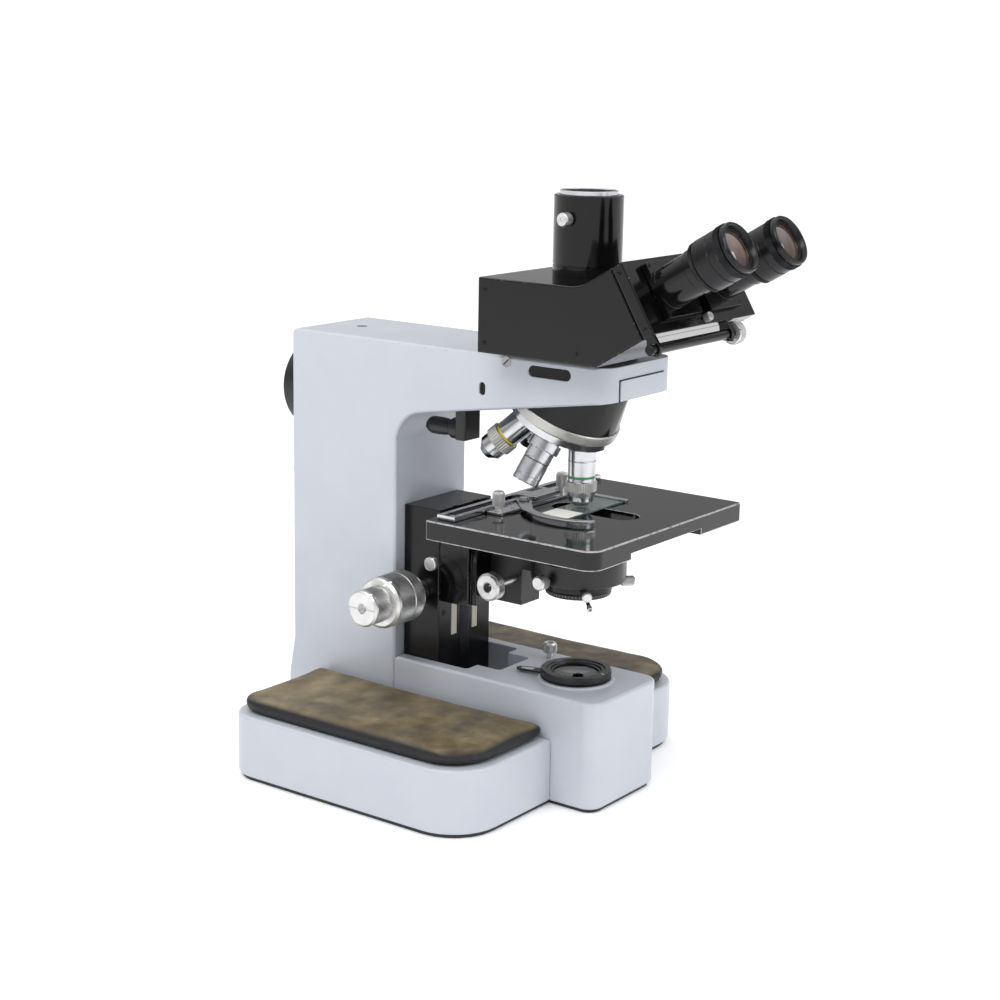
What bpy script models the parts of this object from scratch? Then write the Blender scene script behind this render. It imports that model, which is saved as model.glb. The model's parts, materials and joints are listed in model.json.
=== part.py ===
"""Research microscope with a wide padded base, a trinocular head and a five-place nosepiece.

Frame: X to the user's right, Y to the rear, Z up. The optical axis is X = Y = 0 and the bench is Z = 0.
Every size below is in millimetres. The builders at the end of each section turn them into metres.
"""
import bpy
import bmesh
import math
from mathutils import Matrix, Vector

MM = 0.001
GAP = 0.3                      # clearance between pieces that touch or slide
CUT_OVER = 5.0                 # how far a cutting tool runs past the face it opens
EDGE_BREAK = 0.6               # small chamfer on a turned or milled edge
CAST_EDGE = 1.6                # rounding of a casting's edges
PIN_RADIUS = 2.0               # shank of a small thumbscrew

# ---- Driving sizes: base -------------------------------------------------------------------------
PLATE_THICK = 2.5              # steel base plate, its underside on the bench
PLATE_INSET = 3.0              # the plate stays this far inside the castings
STAND_HALF = 44.6              # half width of lamp block, column and arm
BLOCK_FRONT = -48.3
BLOCK_TOP = 86.0
BLOCK_CORNER = 12.6
WING_HALF = 151.5
WING_FRONT = -9.3
WING_REAR = 223.0
WING_TOP = 52.0
WING_WALL = 4.0
WING_FRONT_CORNER = 39.0
WING_REAR_CORNER = 25.0
PAD_INSET = 3.6
PAD_THICK = 12.4
PAD_EDGE = 8.0                 # height of the rolled edge of a pad

# ---- Driving sizes: column and arm ---------------------------------------------------------------
COLUMN_FRONT = 142.4
COLUMN_REAR = 248.5
FOOT_REAR = 254.0
FOOT_LOW = 50.0
FOOT_HIGH = 82.0
COLUMN_WALL = 8.0              # thickness of the casting round the hollow column
COLUMN_HOLLOW_TOP = 262.0
ARM_TOP = 335.2
ARM_FRONT = -50.0
ARM_FRONT_CORNER = 13.0
THROAT_RADIUS = 27.0
THROAT_HEIGHT = 256.0          # where the column face starts to curve into the arm
ARM_RISE = 0.16                # slope of the arm's underside, rising to the front
LIGHT_BORE = 20.0              # radius of the light path through the arm
FILTER_SLOT = (0.5, 326.8, 37.2, 8.0)    # centre Y, centre Z, length, height
FILTER_SLOT_DEEP = 22.0
SMALL_SLOT = (60.5, 308.5, 5.6, 9.6)
SMALL_SLOT_DEEP = 6.0
ARM_PLATE_HALF = 29.0
ARM_PLATE_LOW = 310.2
ARM_PLATE_HIGH = 325.0
ARM_PLATE_THICK = 1.0
PORT_RADIUS = 35.0
PORT_BORE = 25.0
PORT_HEIGHT = 285.0
PORT_LONG = 19.0
PORT_DEEP = 12.0

# ---- Driving sizes: focus ------------------------------------------------------------------------
HOUSING_HALF = 33.5
HOUSING_FRONT = 107.4
HOUSING_TOP = 207.0
HOUSING_FOOT = 24.0
WAY_INNER = 9.5
WAY_OUTER = 17.0
WAY_DEEP = 1.2
SHAFT_Y = 125.0
SHAFT_Z = 141.0
COARSE_SHAFT_RADIUS = 9.0
FINE_SHAFT_RADIUS = 4.0
COARSE_RADIUS = 20.0
COARSE_INNER = 48.0            # X of the coarse knob's inner face
COARSE_LONG = 36.6
FINE_RADIUS = 14.0
FINE_LONG = 19.4
WELL_NARROW_HALF = 20.0
WELL_STEP = 79.0
WELL_FRONT = 57.5
WELL_FLOOR = 20.0
TUNNEL_HALF = 22.0
TUNNEL_TOP = 66.0

# ---- Driving sizes: lamp block fittings ----------------------------------------------------------
BOSS_RADIUS = 29.0
BOSS_TOP = 87.6
FIELD_RING_RADIUS = 27.0
FIELD_RING_BORE = 17.5
FIELD_RING_TOP = 94.7
FIELD_LENS_THICK = 4.0
LEVER_REACH = 44.0
LEVER_WIDTH = 9.0
LEVER_THICK = 1.2
LEVER_ANGLE = 105.0            # direction of the lever seen from above
FIELD_KNOB_AT = (31.0, 46.0)
FIELD_KNOB_RADIUS = 5.6
FIELD_KNOB_TALL = 12.0

# ---- Driving sizes: stage ------------------------------------------------------------------------
STAGE_LEFT = -104.5
STAGE_RIGHT = 97.6
STAGE_FRONT = -82.0
STAGE_REAR = 65.6
STAGE_TOP = 219.3
STAGE_THICK = 9.6
STAGE_RAIL_DEEP = 5.0
STAGE_RAIL_IN_LEFT = -56.8
STAGE_RAIL_IN_RIGHT = 38.6
STAGE_CORNER = 12.0            # the left front corner; the right one is nearly square
STAGE_SMALL_CORNER = 3.0
STAGE_SLOT_HALF = 12.0
STAGE_SLOT_FRONT = -50.0
STAGE_SLOT_REAR = 24.0
BRACKET_FRONT = 79.0
BRACKET_LOW = 135.2
BRACKET_WEB = 30.0             # half width of the bracket's table under the stage
ARCH_RADIUS = 30.0
ARCH_TALL = 5.0
RAIL_Y = (44.0, 56.0)
RAIL_WIDE = 4.0
RAIL_HIGH = 3.6
HOLDER_LEFT = -60.0
HOLDER_RIGHT = 42.0
HOLDER_FRONT = 28.0
HOLDER_REAR = 43.5
HOLDER_THICK = 2.0
SLIDE_LEFT = -40.0
SLIDE_FRONT = -14.5
SLIDE_LONG = 76.0
SLIDE_WIDE = 26.0
SLIDE_THICK = 1.0
FINGER_PIVOT = (-21.0, 37.0)
PIVOT_RADIUS = 3.0
THUMB_RADIUS = 4.7
THUMB_TALL = 11.0
THUMB_LEFT = (-54.5, 36.0)
THUMB_RIGHT = (30.0, 38.0)
DRIVE_AT = (80.0, 48.0)
DRIVE_LONG = 46.0

# ---- Driving sizes: condenser --------------------------------------------------------------------
CONDENSER_RADIUS = 31.0
CONDENSER_LOW_RADIUS = 26.0
CONDENSER_TOP = 190.0
CONDENSER_LOW = 159.0
CONDENSER_TIP = 216.0
IRIS_RADIUS = 25.0
IRIS_LOW = 154.5
IRIS_LEVER_ANGLE = -131.7
IRIS_LEVER_LONG = 14.0
IRIS_LEVER_DROP = 0.45         # how far the lever falls for each unit it reaches out
CENTRING_Z = 162.0
CENTRING_ANGLES = {"left": -137.3, "right": -42.6}
CENTRING_REACH = 43.4
CARRIER_HALF = 12.0
CARRIER_FRONT = 44.0
CARRIER_LOW = 138.5
CARRIER_TOP = 198.0
CARRIER_RING = 36.0
CONDENSER_KNOB_Y = 51.0
CONDENSER_KNOB_Z = 158.6
CONDENSER_KNOB_RADIUS = 10.8
CONDENSER_KNOB_TIP = 46.4
CONDENSER_KNOB_THICK = 9.0
CLAMP_Y = 3.3
CLAMP_Z = 170.5
CLAMP_RADIUS = 5.5
CLAMP_LONG = 17.5

# ---- Driving sizes: nosepiece --------------------------------------------------------------------
TURRET_TILT = 25.5
SEAT_CIRCLE = 25.0
SEAT_Z = 265.0
TURRET_RIM = 41.0
RING_RADIUS = 42.0
RING_LOW = 12.6                # along the turret axis from the seat circle's plane
RING_HIGH = 21.0
BOWL_TOP_RADIUS = 36.0
BOWL_LONG = 50.0
POCKET_TOP = 317.0
POCKET_FRONT = -33.0
POCKET_REAR = 75.0
POSITIONS = 5
THREAD_RADIUS = 10.2
THREAD_LONG = 4.5
SEAT_FACE = 13.5               # radius of the flat that an objective's shoulder meets
OBJECTIVE_LIGHT = 6.0
LOCK_X = -24.0
LOCK_Z = 271.0
LOCK_FRONT = 94.0
LOCK_REAR = 126.0
LOCK_RADIUS = 6.8
LOCK_BRACKET = 10.0            # thickness and half width of the bracket that carries the lock

# ---- Driving sizes: head -------------------------------------------------------------------------
RING_MOUNT_RADIUS = 39.0
HEAD_BOTTOM = 340.0
HEAD_HALF = 69.8
HEAD_BACK = 46.6
HEAD_TOP = 394.3
HEAD_TILT = 30.9
DUCT_TALL = 54.3
DUCT_FRONT = (-102.1, 368.0)    # lower front corner, Y and Z
HEAD_WALL = 4.0
HEAD_FILLET = 28.0
CAP_THICK = 9.6
TUBE_RADIUS = 25.3
TUBE_BORE = 19.0
TUBE_TOP = 452.0
INSERT_RADIUS = 21.2
INSERT_RISE = 3.1
TUBE_SCREW_Z = 435.5
TUBE_SCREW_RADIUS = 5.2
TUBE_SCREW_REACH = 34.0
PUPIL_HALF = 34.7              # half the distance between the eyepieces
SLIDE_PLATE_INNER = 5.9
SLIDE_PLATE_OUTER = 49.7
SLIDE_PLATE_TALL = 42.0
SLIDE_PLATE_RISE = 1.6
SLIDE_PLATE_THICK = 5.0
SLEEVE_RADIUS = 15.5
SLEEVE_LONG = 36.0
EYEPIECE_RADIUS = 19.5
EYEPIECE_LONG = 69.0
EYEPIECE_SHANK = 11.6
WHEEL_RADIUS = 3.6
WHEEL_LONG = 6.0
BEAM_Y = -102.0
BEAM_Z = 357.6
BEAM_RADIUS = 3.6
BEAM_LEFT = -75.0
BEAM_RIGHT = 34.9
BEAM_LUGS = {"left": -67.5, "right": 29.5}     # X of the middle of each lug
BEAM_LUG_HALF = 1.6
BEAM_KNOB_RADIUS = 8.5
BEAM_KNOB_LONG = 8.0

ROUND = 26                     # sides of a large round piece
SMALL = 16                     # sides of a small round piece


# ---- Builders ------------------------------------------------------------------------------------
def clear_scene():
    for old in list(bpy.data.objects):
        bpy.data.objects.remove(old)


def paint(name, colour, roughness, metallic=0.0):
    """A Principled material of one colour, given as linear red, green, blue."""
    material = bpy.data.materials.new(name)
    material.use_nodes = True
    shader = material.node_tree.nodes["Principled BSDF"]
    shader.inputs["Base Color"].default_value = (*colour, 1.0)
    shader.inputs["Roughness"].default_value = roughness
    shader.inputs["Metallic"].default_value = metallic
    return material


def to_metres(point):
    return Vector(point) * MM


def axis_frame(at, tilt=0.0, direction=None):
    """The matrix of a frame at a point in millimetres, tilted about X or turned to a direction."""
    turn = Matrix.Rotation(math.radians(tilt), 4, "X")
    if direction is not None:
        turn = Vector(direction).to_track_quat("Z", "Y").to_matrix().to_4x4()
    return Matrix.Translation(to_metres(at)) @ turn


def finish(name, mesh_builder, frame, material, parent=None):
    """Turn a bmesh into a named object whose origin is the given frame."""
    bmesh.ops.recalc_face_normals(mesh_builder, faces=mesh_builder.faces)
    mesh = bpy.data.meshes.new(name)
    mesh_builder.to_mesh(mesh)
    mesh_builder.free()
    mesh.shade_smooth()
    mesh.set_sharp_from_angle(angle=math.radians(32))
    piece = bpy.data.objects.new(name, mesh)
    bpy.context.collection.objects.link(piece)
    if parent is not None:
        piece.parent = parent
        piece.matrix_parent_inverse = parent.matrix_world.inverted()
    piece.matrix_world = frame
    if material is not None:
        mesh.materials.append(material)
    return piece


def pivot(name, at, tilt=0.0, parent=None):
    """An empty on a joint's axis, which carries the pieces that move with it."""
    empty = bpy.data.objects.new(name, None)
    bpy.context.collection.objects.link(empty)
    if parent is not None:
        empty.parent = parent
        empty.matrix_parent_inverse = parent.matrix_world.inverted()
    empty.matrix_world = axis_frame(at, tilt)
    bpy.context.view_layer.update()
    return empty


def arc(centre, radius, start, end, steps):
    """Points on an arc, in degrees, from start to end."""
    points = []
    for step in range(steps + 1):
        angle = math.radians(start + (end - start) * step / steps)
        points.append((centre[0] + radius * math.cos(angle), centre[1] + radius * math.sin(angle)))
    return points


def rounded(corners, steps=6):
    """An outline from (u, v, radius) corners, each radius drawn as an arc of its own."""
    outline = []
    count = len(corners)
    for index, (u, v, radius) in enumerate(corners):
        here = Vector((u, v))
        if radius <= 0:
            outline.append((u, v))
            continue
        before = (Vector(corners[index - 1][:2]) - here).normalized()
        after = (Vector(corners[(index + 1) % count][:2]) - here).normalized()
        half_angle = before.angle(after) / 2
        middle = here + (before + after).normalized() * radius / math.sin(half_angle)
        first = here + before * radius / math.tan(half_angle) - middle
        turn = first.angle_signed(here + after * radius / math.tan(half_angle) - middle)
        for step in range(steps + 1):
            spoke = first.copy()
            spoke.rotate(Matrix.Rotation(-turn * step / steps, 2))
            outline.append(tuple(middle + spoke))
    return outline


def rectangle(left, low, right, high, radius=0.0):
    return [(left, low, radius), (right, low, radius), (right, high, radius), (left, high, radius)]


PLANES = {
    "X": lambda u, v, w: (w, u, v),
    "Y": lambda u, v, w: (u, w, v),
    "Z": lambda u, v, w: (u, v, w),
}


def prism(name, outline, low, high, material, axis="Z", at=(0, 0, 0), tilt=0.0, parent=None, soft=0.0):
    """An outline pulled straight from low to high along an axis of its own frame."""
    builder = bmesh.new()
    place = PLANES[axis]
    rings = []
    for level in (low, high):
        rings.append([builder.verts.new(to_metres(place(u, v, level))) for u, v in outline])
    count = len(outline)
    for index in range(count):
        after = (index + 1) % count
        builder.faces.new((rings[0][index], rings[0][after], rings[1][after], rings[1][index]))
    ends = [builder.faces.new(rings[0]), builder.faces.new(rings[1])]
    if soft > 0:
        edges = {edge for face in ends for edge in face.edges}
        bmesh.ops.recalc_face_normals(builder, faces=builder.faces)
        steps = 2 if soft > 2 else 1
        bmesh.ops.bevel(builder, geom=list(edges), offset=soft * MM, segments=steps, profile=0.5,
                        affect="EDGES", clamp_overlap=True)
    return finish(name, builder, axis_frame(at, tilt), material, parent)


def slab(name, low, high, material, radius=0.0, parent=None, soft=0.0):
    """An upright block between two corners, its standing edges rounded."""
    outline = rounded(rectangle(low[0], low[1], high[0], high[1], radius), 4)
    return prism(name, outline, low[2], high[2], material, parent=parent, soft=soft)


def turned(name, profile, material, at=(0, 0, 0), tilt=0.0, direction=None, parent=None, sides=ROUND):
    """A piece turned about its own Z axis. The profile is (radius, height) points round its section."""
    builder = bmesh.new()
    rings = []
    for radius, height in profile:
        if radius <= 0:
            rings.append([builder.verts.new((0, 0, height * MM))])
            continue
        ring = []
        for side in range(sides):
            angle = 2 * math.pi * side / sides
            spot = (radius * math.cos(angle), radius * math.sin(angle), height)
            ring.append(builder.verts.new(to_metres(spot)))
        rings.append(ring)
    for index, lower in enumerate(rings):
        upper = rings[(index + 1) % len(rings)]
        if len(lower) == 1 and len(upper) == 1:
            continue
        for side in range(sides):
            after = (side + 1) % sides
            corners = []
            for vertex in (lower[side % len(lower)], lower[after % len(lower)],
                           upper[after % len(upper)], upper[side % len(upper)]):
                if vertex not in corners:
                    corners.append(vertex)
            builder.faces.new(corners)
    return finish(name, builder, axis_frame(at, tilt, direction), material, parent)


def rod(radius, low, high, chamfer=0.0):
    """The profile of a solid round bar."""
    if chamfer <= 0:
        return [(0, low), (radius, low), (radius, high), (0, high)]
    return [(0, low), (radius - chamfer, low), (radius, low + chamfer),
            (radius, high - chamfer), (radius - chamfer, high), (0, high)]


def pipe(inner, outer, low, high, chamfer=0.0):
    """The profile of a round tube."""
    if chamfer <= 0:
        return [(inner, low), (outer, low), (outer, high), (inner, high)]
    return [(inner, low), (outer - chamfer, low), (outer, low + chamfer),
            (outer, high - chamfer), (outer - chamfer, high), (inner, high)]


def apply_tool(piece, tool, operation="DIFFERENCE"):
    """Cut a tool out of a piece, or join it on, with an exact Boolean."""
    tool.hide_render = True
    tool.display_type = "WIRE"
    step = piece.modifiers.new(tool.name, "BOOLEAN")
    step.operation = operation
    step.object = tool
    step.solver = "EXACT"


PAINT = {}


def mix_paints():
    PAINT["enamel"] = paint("pale_enamel", (0.56, 0.60, 0.67), 0.4)
    PAINT["gloss"] = paint("gloss_black", (0.008, 0.008, 0.009), 0.12)
    PAINT["satin"] = paint("satin_black", (0.014, 0.014, 0.015), 0.35)
    PAINT["aluminium"] = paint("satin_aluminium", (0.62, 0.62, 0.62), 0.35, 1.0)
    PAINT["chrome"] = paint("bright_chrome", (0.72, 0.73, 0.74), 0.12, 1.0)
    PAINT["steel"] = paint("blackened_steel", (0.04, 0.04, 0.04), 0.5, 0.6)
    PAINT["leather"] = paint("worn_leather", (0.06, 0.05, 0.04), 0.55)
    PAINT["glass"] = paint("clear_glass", (0.8, 0.85, 0.86), 0.03)
    PAINT["rim"] = paint("grey_anodise", (0.5, 0.5, 0.49), 0.4, 0.8)


# ---- Base ----------------------------------------------------------------------------------------
SIDES = {"left": -1, "right": 1}
BLOCK_LOW = PLATE_THICK + GAP


def mirrored(side, corners):
    """Corners drawn for the right side, put on either side and kept in turning order."""
    if SIDES[side] > 0:
        return corners
    return [(-u, v, radius) for u, v, radius in reversed(corners)]


def wing_corners(side, inset, inner):
    """Plan of a wing, drawn in by an inset, from an inner X out to the wing's rounded corners."""
    outer = WING_HALF - inset
    front = WING_FRONT + inset
    rear = WING_REAR - inset
    return mirrored(side, [
        (inner, front, 0),
        (outer, front, WING_FRONT_CORNER - inset),
        (outer, rear, WING_REAR_CORNER - inset),
        (inner, rear, 0),
    ])


def build_base_plate():
    inset = PLATE_INSET
    half = STAND_HALF - inset
    right = [
        (half, BLOCK_FRONT + inset, BLOCK_CORNER - inset),
        (half, WING_FRONT + inset, 0),
        (WING_HALF - inset, WING_FRONT + inset, WING_FRONT_CORNER - inset),
        (WING_HALF - inset, WING_REAR - inset, WING_REAR_CORNER - inset),
        (half, WING_REAR - inset, 0),
        (half, FOOT_REAR - inset, 0),
    ]
    outline = rounded(right + mirrored("left", right), 6)
    prism("base_plate", outline, 0, PLATE_THICK, PAINT["steel"])


def build_lamp_block():
    corners = [
        (-STAND_HALF, BLOCK_FRONT, BLOCK_CORNER),
        (STAND_HALF, BLOCK_FRONT, BLOCK_CORNER),
        (STAND_HALF, COLUMN_FRONT - GAP, 0),
        (-STAND_HALF, COLUMN_FRONT - GAP, 0),
    ]
    block = prism("lamp_block", rounded(corners, 6), BLOCK_LOW, BLOCK_TOP, PAINT["enamel"], soft=CAST_EDGE)
    boss = turned("join_field_boss", rod(BOSS_RADIUS, BLOCK_TOP - 4, BOSS_TOP), None)
    apply_tool(block, boss, "UNION")
    wide = HOUSING_HALF + GAP
    well = [
        (-WELL_NARROW_HALF, WELL_FRONT, 3), (WELL_NARROW_HALF, WELL_FRONT, 3),
        (WELL_NARROW_HALF, WELL_STEP, 0), (wide, WELL_STEP, 3),
        (wide, COLUMN_FRONT + CUT_OVER, 0), (-wide, COLUMN_FRONT + CUT_OVER, 0),
        (-wide, WELL_STEP, 3), (-WELL_NARROW_HALF, WELL_STEP, 0),
    ]
    apply_tool(block, prism("cut_well", rounded(well, 4), WELL_FLOOR, BLOCK_TOP + CUT_OVER, None))
    tunnel = rectangle(-TUNNEL_HALF, WELL_FLOOR + 1, TUNNEL_HALF, TUNNEL_TOP)
    reach = TUNNEL_HALF + 3
    apply_tool(block, prism("cut_tunnel", rounded(tunnel), -reach, WELL_FRONT + CUT_OVER, None, axis="Y"))
    bore = rod(FIELD_RING_BORE, TUNNEL_TOP - CUT_OVER, BOSS_TOP + CUT_OVER)
    apply_tool(block, turned("cut_light_hole", bore, None))


def build_mirror():
    """First-surface mirror on a wedge below the field lens, turning the light from the rear upwards."""
    reach = TUNNEL_HALF - 2
    floor = WELL_FLOOR + 1 + GAP
    height = TUNNEL_TOP - floor - 4
    wedge = [(-reach, floor), (reach - 4, floor), (-reach, floor + height)]
    prism("base_mirror", wedge, -reach + 2, reach - 2, PAINT["chrome"], axis="X")


def build_wings():
    for side in SIDES:
        inner = STAND_HALF + GAP
        shell = prism("wing_" + side, rounded(wing_corners(side, 0, inner), 8), BLOCK_LOW, WING_TOP,
                      PAINT["enamel"], soft=2.4)
        hollow = rounded(wing_corners(side, WING_WALL, inner + WING_WALL), 8)
        apply_tool(shell, prism("cut_wing_" + side, hollow, 0, WING_TOP - WING_WALL, None))
        low = WING_TOP + GAP
        pad_outline = rounded(wing_corners(side, PAD_INSET, inner + GAP), 8)
        prism("pad_" + side, pad_outline, low, low + PAD_THICK, PAINT["leather"], soft=PAD_EDGE)


def build_field_fittings():
    """Field lens in its black ring, the iris lever beside it and the small knurled clamp."""
    low = BOSS_TOP + GAP + LEVER_THICK + GAP
    ring = pipe(FIELD_RING_BORE, FIELD_RING_RADIUS, low, FIELD_RING_TOP, 0.8)
    turned("field_ring", ring, PAINT["satin"])
    lens = [(0, low), (FIELD_RING_BORE - GAP, low), (FIELD_RING_BORE - GAP, low + FIELD_LENS_THICK),
            (FIELD_RING_BORE * 0.6, low + FIELD_LENS_THICK + 1.0), (0, low + FIELD_LENS_THICK + 1.4)]
    turned("field_lens", lens, PAINT["glass"])
    swing = pivot("field_lever_axis", (0, 0, BOSS_TOP))
    start = math.radians(LEVER_ANGLE)
    half = math.degrees(math.asin(LEVER_WIDTH / 2 / (BOSS_RADIUS - 2)))
    collar = arc((0, 0), BOSS_RADIUS - 2, LEVER_ANGLE + half, LEVER_ANGLE + 360 - half, 30)
    tip = []
    for turn in (-90, -45, 0, 45, 90):
        angle = start + math.radians(turn)
        tip.append((LEVER_REACH * math.cos(start) + LEVER_WIDTH / 2 * math.cos(angle),
                    LEVER_REACH * math.sin(start) + LEVER_WIDTH / 2 * math.sin(angle)))
    floor = BOSS_TOP + GAP
    lever = prism("field_lever", collar + tip, floor, floor + LEVER_THICK, PAINT["satin"], parent=swing)
    hole = turned("cut_lever_hole", rod(FIELD_RING_BORE + GAP, floor - 2, floor + LEVER_THICK + 2), None)
    apply_tool(lever, hole)
    x, y = FIELD_KNOB_AT
    stem = FIELD_KNOB_RADIUS * 0.45
    knob = [(0, 0), (stem, 0), (stem, 4), (FIELD_KNOB_RADIUS, 4), (FIELD_KNOB_RADIUS, FIELD_KNOB_TALL),
            (stem, FIELD_KNOB_TALL), (stem, FIELD_KNOB_TALL - 3), (0, FIELD_KNOB_TALL - 3)]
    turned("field_knob", knob, PAINT["aluminium"], at=(x, y, BLOCK_TOP + GAP), sides=SMALL)


# ---- Column and arm ------------------------------------------------------------------------------
def arm_underside(y):
    """Height of the arm's underside at a place along the arm."""
    slope = math.atan(ARM_RISE)
    start_y = COLUMN_FRONT - THROAT_RADIUS + THROAT_RADIUS * math.sin(slope)
    start_z = THROAT_HEIGHT + THROAT_RADIUS * math.cos(slope)
    return start_z + (start_y - y) * ARM_RISE


def build_stand_frame():
    """Column and arm in one casting, with a pocket below for the nosepiece and a port at the rear."""
    slope = math.degrees(math.atan(ARM_RISE))
    throat = arc((COLUMN_FRONT - THROAT_RADIUS, THROAT_HEIGHT), THROAT_RADIUS, 0, 90 - slope, 8)
    outline = [(COLUMN_FRONT, BLOCK_LOW)] + throat
    outline += [(ARM_FRONT, arm_underside(ARM_FRONT)), (ARM_FRONT, ARM_TOP)]
    outline += arc((COLUMN_REAR - 5, ARM_TOP - 5), 5, 90, 0, 3)
    outline += [(COLUMN_REAR, FOOT_HIGH), (FOOT_REAR, FOOT_LOW), (FOOT_REAR, BLOCK_LOW)]
    frame = prism("stand_frame", outline, -STAND_HALF, STAND_HALF, PAINT["enamel"], axis="X", soft=CAST_EDGE)
    for side, sign in SIDES.items():
        edge = STAND_HALF
        inner = edge - ARM_FRONT_CORNER
        front = ARM_FRONT
        centre = (sign * inner, front + ARM_FRONT_CORNER)
        sweep = arc(centre, ARM_FRONT_CORNER, -90, -90 + 90 * sign, 6)
        outside = sign * (edge + CUT_OVER)
        waste = sweep + [(outside, front + ARM_FRONT_CORNER), (outside, front - CUT_OVER),
                         (sign * inner, front - CUT_OVER)]
        apply_tool(frame, prism("cut_arm_corner_" + side, waste, THROAT_HEIGHT, ARM_TOP + CUT_OVER, None))
    pocket_half = RING_RADIUS + 0.4
    pocket = rounded(rectangle(-pocket_half, POCKET_FRONT, pocket_half, POCKET_REAR, 6), 4)
    apply_tool(frame, prism("cut_pocket", pocket, THROAT_HEIGHT, POCKET_TOP, None))
    path = rod(LIGHT_BORE, POCKET_TOP - CUT_OVER, ARM_TOP + CUT_OVER)
    apply_tool(frame, turned("cut_light_path", path, None))
    for name, (y, z, long, high), deep in (("filter", FILTER_SLOT, FILTER_SLOT_DEEP),
                                           ("adjuster", SMALL_SLOT, SMALL_SLOT_DEEP)):
        ends = min(long, high) / 2 - 0.01
        shape = rounded(rectangle(y - long / 2, z - high / 2, y + long / 2, z + high / 2, ends), 6)
        tool = prism("cut_" + name, shape, -STAND_HALF - CUT_OVER, -STAND_HALF + deep, None, axis="X")
        apply_tool(frame, tool)
    wall = COLUMN_WALL
    hollow = rectangle(wall - STAND_HALF, COLUMN_FRONT + wall, STAND_HALF - wall, COLUMN_REAR - wall, wall)
    apply_tool(frame, prism("cut_column", rounded(hollow, 3), -wall, COLUMN_HOLLOW_TOP, None))
    port = turned("cut_port", rod(PORT_BORE, 0, PORT_DEEP + CUT_OVER), None,
                  at=(0, COLUMN_REAR - PORT_DEEP, PORT_HEIGHT), direction=(0, 1, 0))
    apply_tool(frame, port)


def build_arm_fittings():
    front = ARM_FRONT - GAP
    shape = rounded(rectangle(-ARM_PLATE_HALF, ARM_PLATE_LOW, ARM_PLATE_HALF, ARM_PLATE_HIGH, 0.8), 2)
    prism("arm_plate", shape, front - ARM_PLATE_THICK, front, PAINT["enamel"], axis="Y")
    turned("dovetail_ring", pipe(LIGHT_BORE, RING_MOUNT_RADIUS, ARM_TOP + GAP, HEAD_BOTTOM - GAP, 0.6),
           PAINT["satin"])
    tube = [(PORT_BORE - 1.5, 0), (PORT_RADIUS, 0), (PORT_RADIUS, PORT_LONG - 1.5),
            (PORT_RADIUS - 1.5, PORT_LONG), (PORT_BORE, PORT_LONG), (PORT_BORE - 1.5, PORT_LONG - 6)]
    turned("lamp_port", tube, PAINT["satin"], at=(0, COLUMN_REAR + GAP, PORT_HEIGHT), direction=(0, 1, 0))


# ---- Focus drive ---------------------------------------------------------------------------------
def build_slide_housing():
    """Gearbox and upright ways bolted to the column, standing in the well of the lamp block."""
    corners = rectangle(-HOUSING_HALF, HOUSING_FRONT, HOUSING_HALF, COLUMN_FRONT - GAP, 1.2)
    housing = prism("slide_housing", rounded(corners, 2), HOUSING_FOOT, HOUSING_TOP, PAINT["satin"])
    for sign in SIDES.values():
        inner = min(sign * WAY_INNER, sign * WAY_OUTER)
        groove = rectangle(inner, 104.0, inner + WAY_OUTER - WAY_INNER, HOUSING_TOP + CUT_OVER)
        deep = HOUSING_FRONT + WAY_DEEP
        side = "left" if sign < 0 else "right"
        tool = prism("cut_way_" + side, rounded(groove), HOUSING_FRONT - CUT_OVER, deep, None, axis="Y")
        apply_tool(housing, tool)
    bore = rod(COARSE_SHAFT_RADIUS + GAP, -HOUSING_HALF - CUT_OVER, HOUSING_HALF + CUT_OVER)
    apply_tool(housing, turned("cut_shaft_hole", bore, None, at=(0, SHAFT_Y, SHAFT_Z), direction=(1, 0, 0)))


def build_focus_knobs():
    """Hollow coarse shaft with a knob at each end, and the fine spindle running through it."""
    at = (0, SHAFT_Y, SHAFT_Z)
    coarse = pivot("coarse_axis", at)
    fine = pivot("fine_axis", at)
    bore = FINE_SHAFT_RADIUS + GAP
    turned("coarse_shaft", pipe(bore, COARSE_SHAFT_RADIUS, -COARSE_INNER, COARSE_INNER), PAINT["chrome"],
           at=at, direction=(1, 0, 0), parent=coarse, sides=SMALL)
    tip = COARSE_INNER + COARSE_LONG + GAP
    for side, sign in SIDES.items():
        face = COARSE_INNER + GAP
        end = face + COARSE_LONG
        collar = COARSE_RADIUS - 3
        knob = [(bore, face), (collar, face), (collar, face + 4), (COARSE_RADIUS, face + 4),
                (COARSE_RADIUS, end - 1), (COARSE_RADIUS - 1, end), (bore, end)]
        turned("coarse_knob_" + side, knob, PAINT["aluminium"], at=at, direction=(sign, 0, 0), parent=coarse)
        top = tip + FINE_LONG
        disc = [(FINE_RADIUS, tip), (FINE_RADIUS, top - 1), (FINE_RADIUS - 1, top), (0, top)]
        if side == "left":
            stem = [(0, -tip), (FINE_SHAFT_RADIUS, -tip), (FINE_SHAFT_RADIUS, tip)]
        else:
            stem = [(0, tip + GAP)]
            disc[0] = (FINE_RADIUS, tip + GAP)
        turned("fine_knob_" + side, stem + disc, PAINT["aluminium"], at=at, direction=(sign, 0, 0),
               parent=fine)


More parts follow.
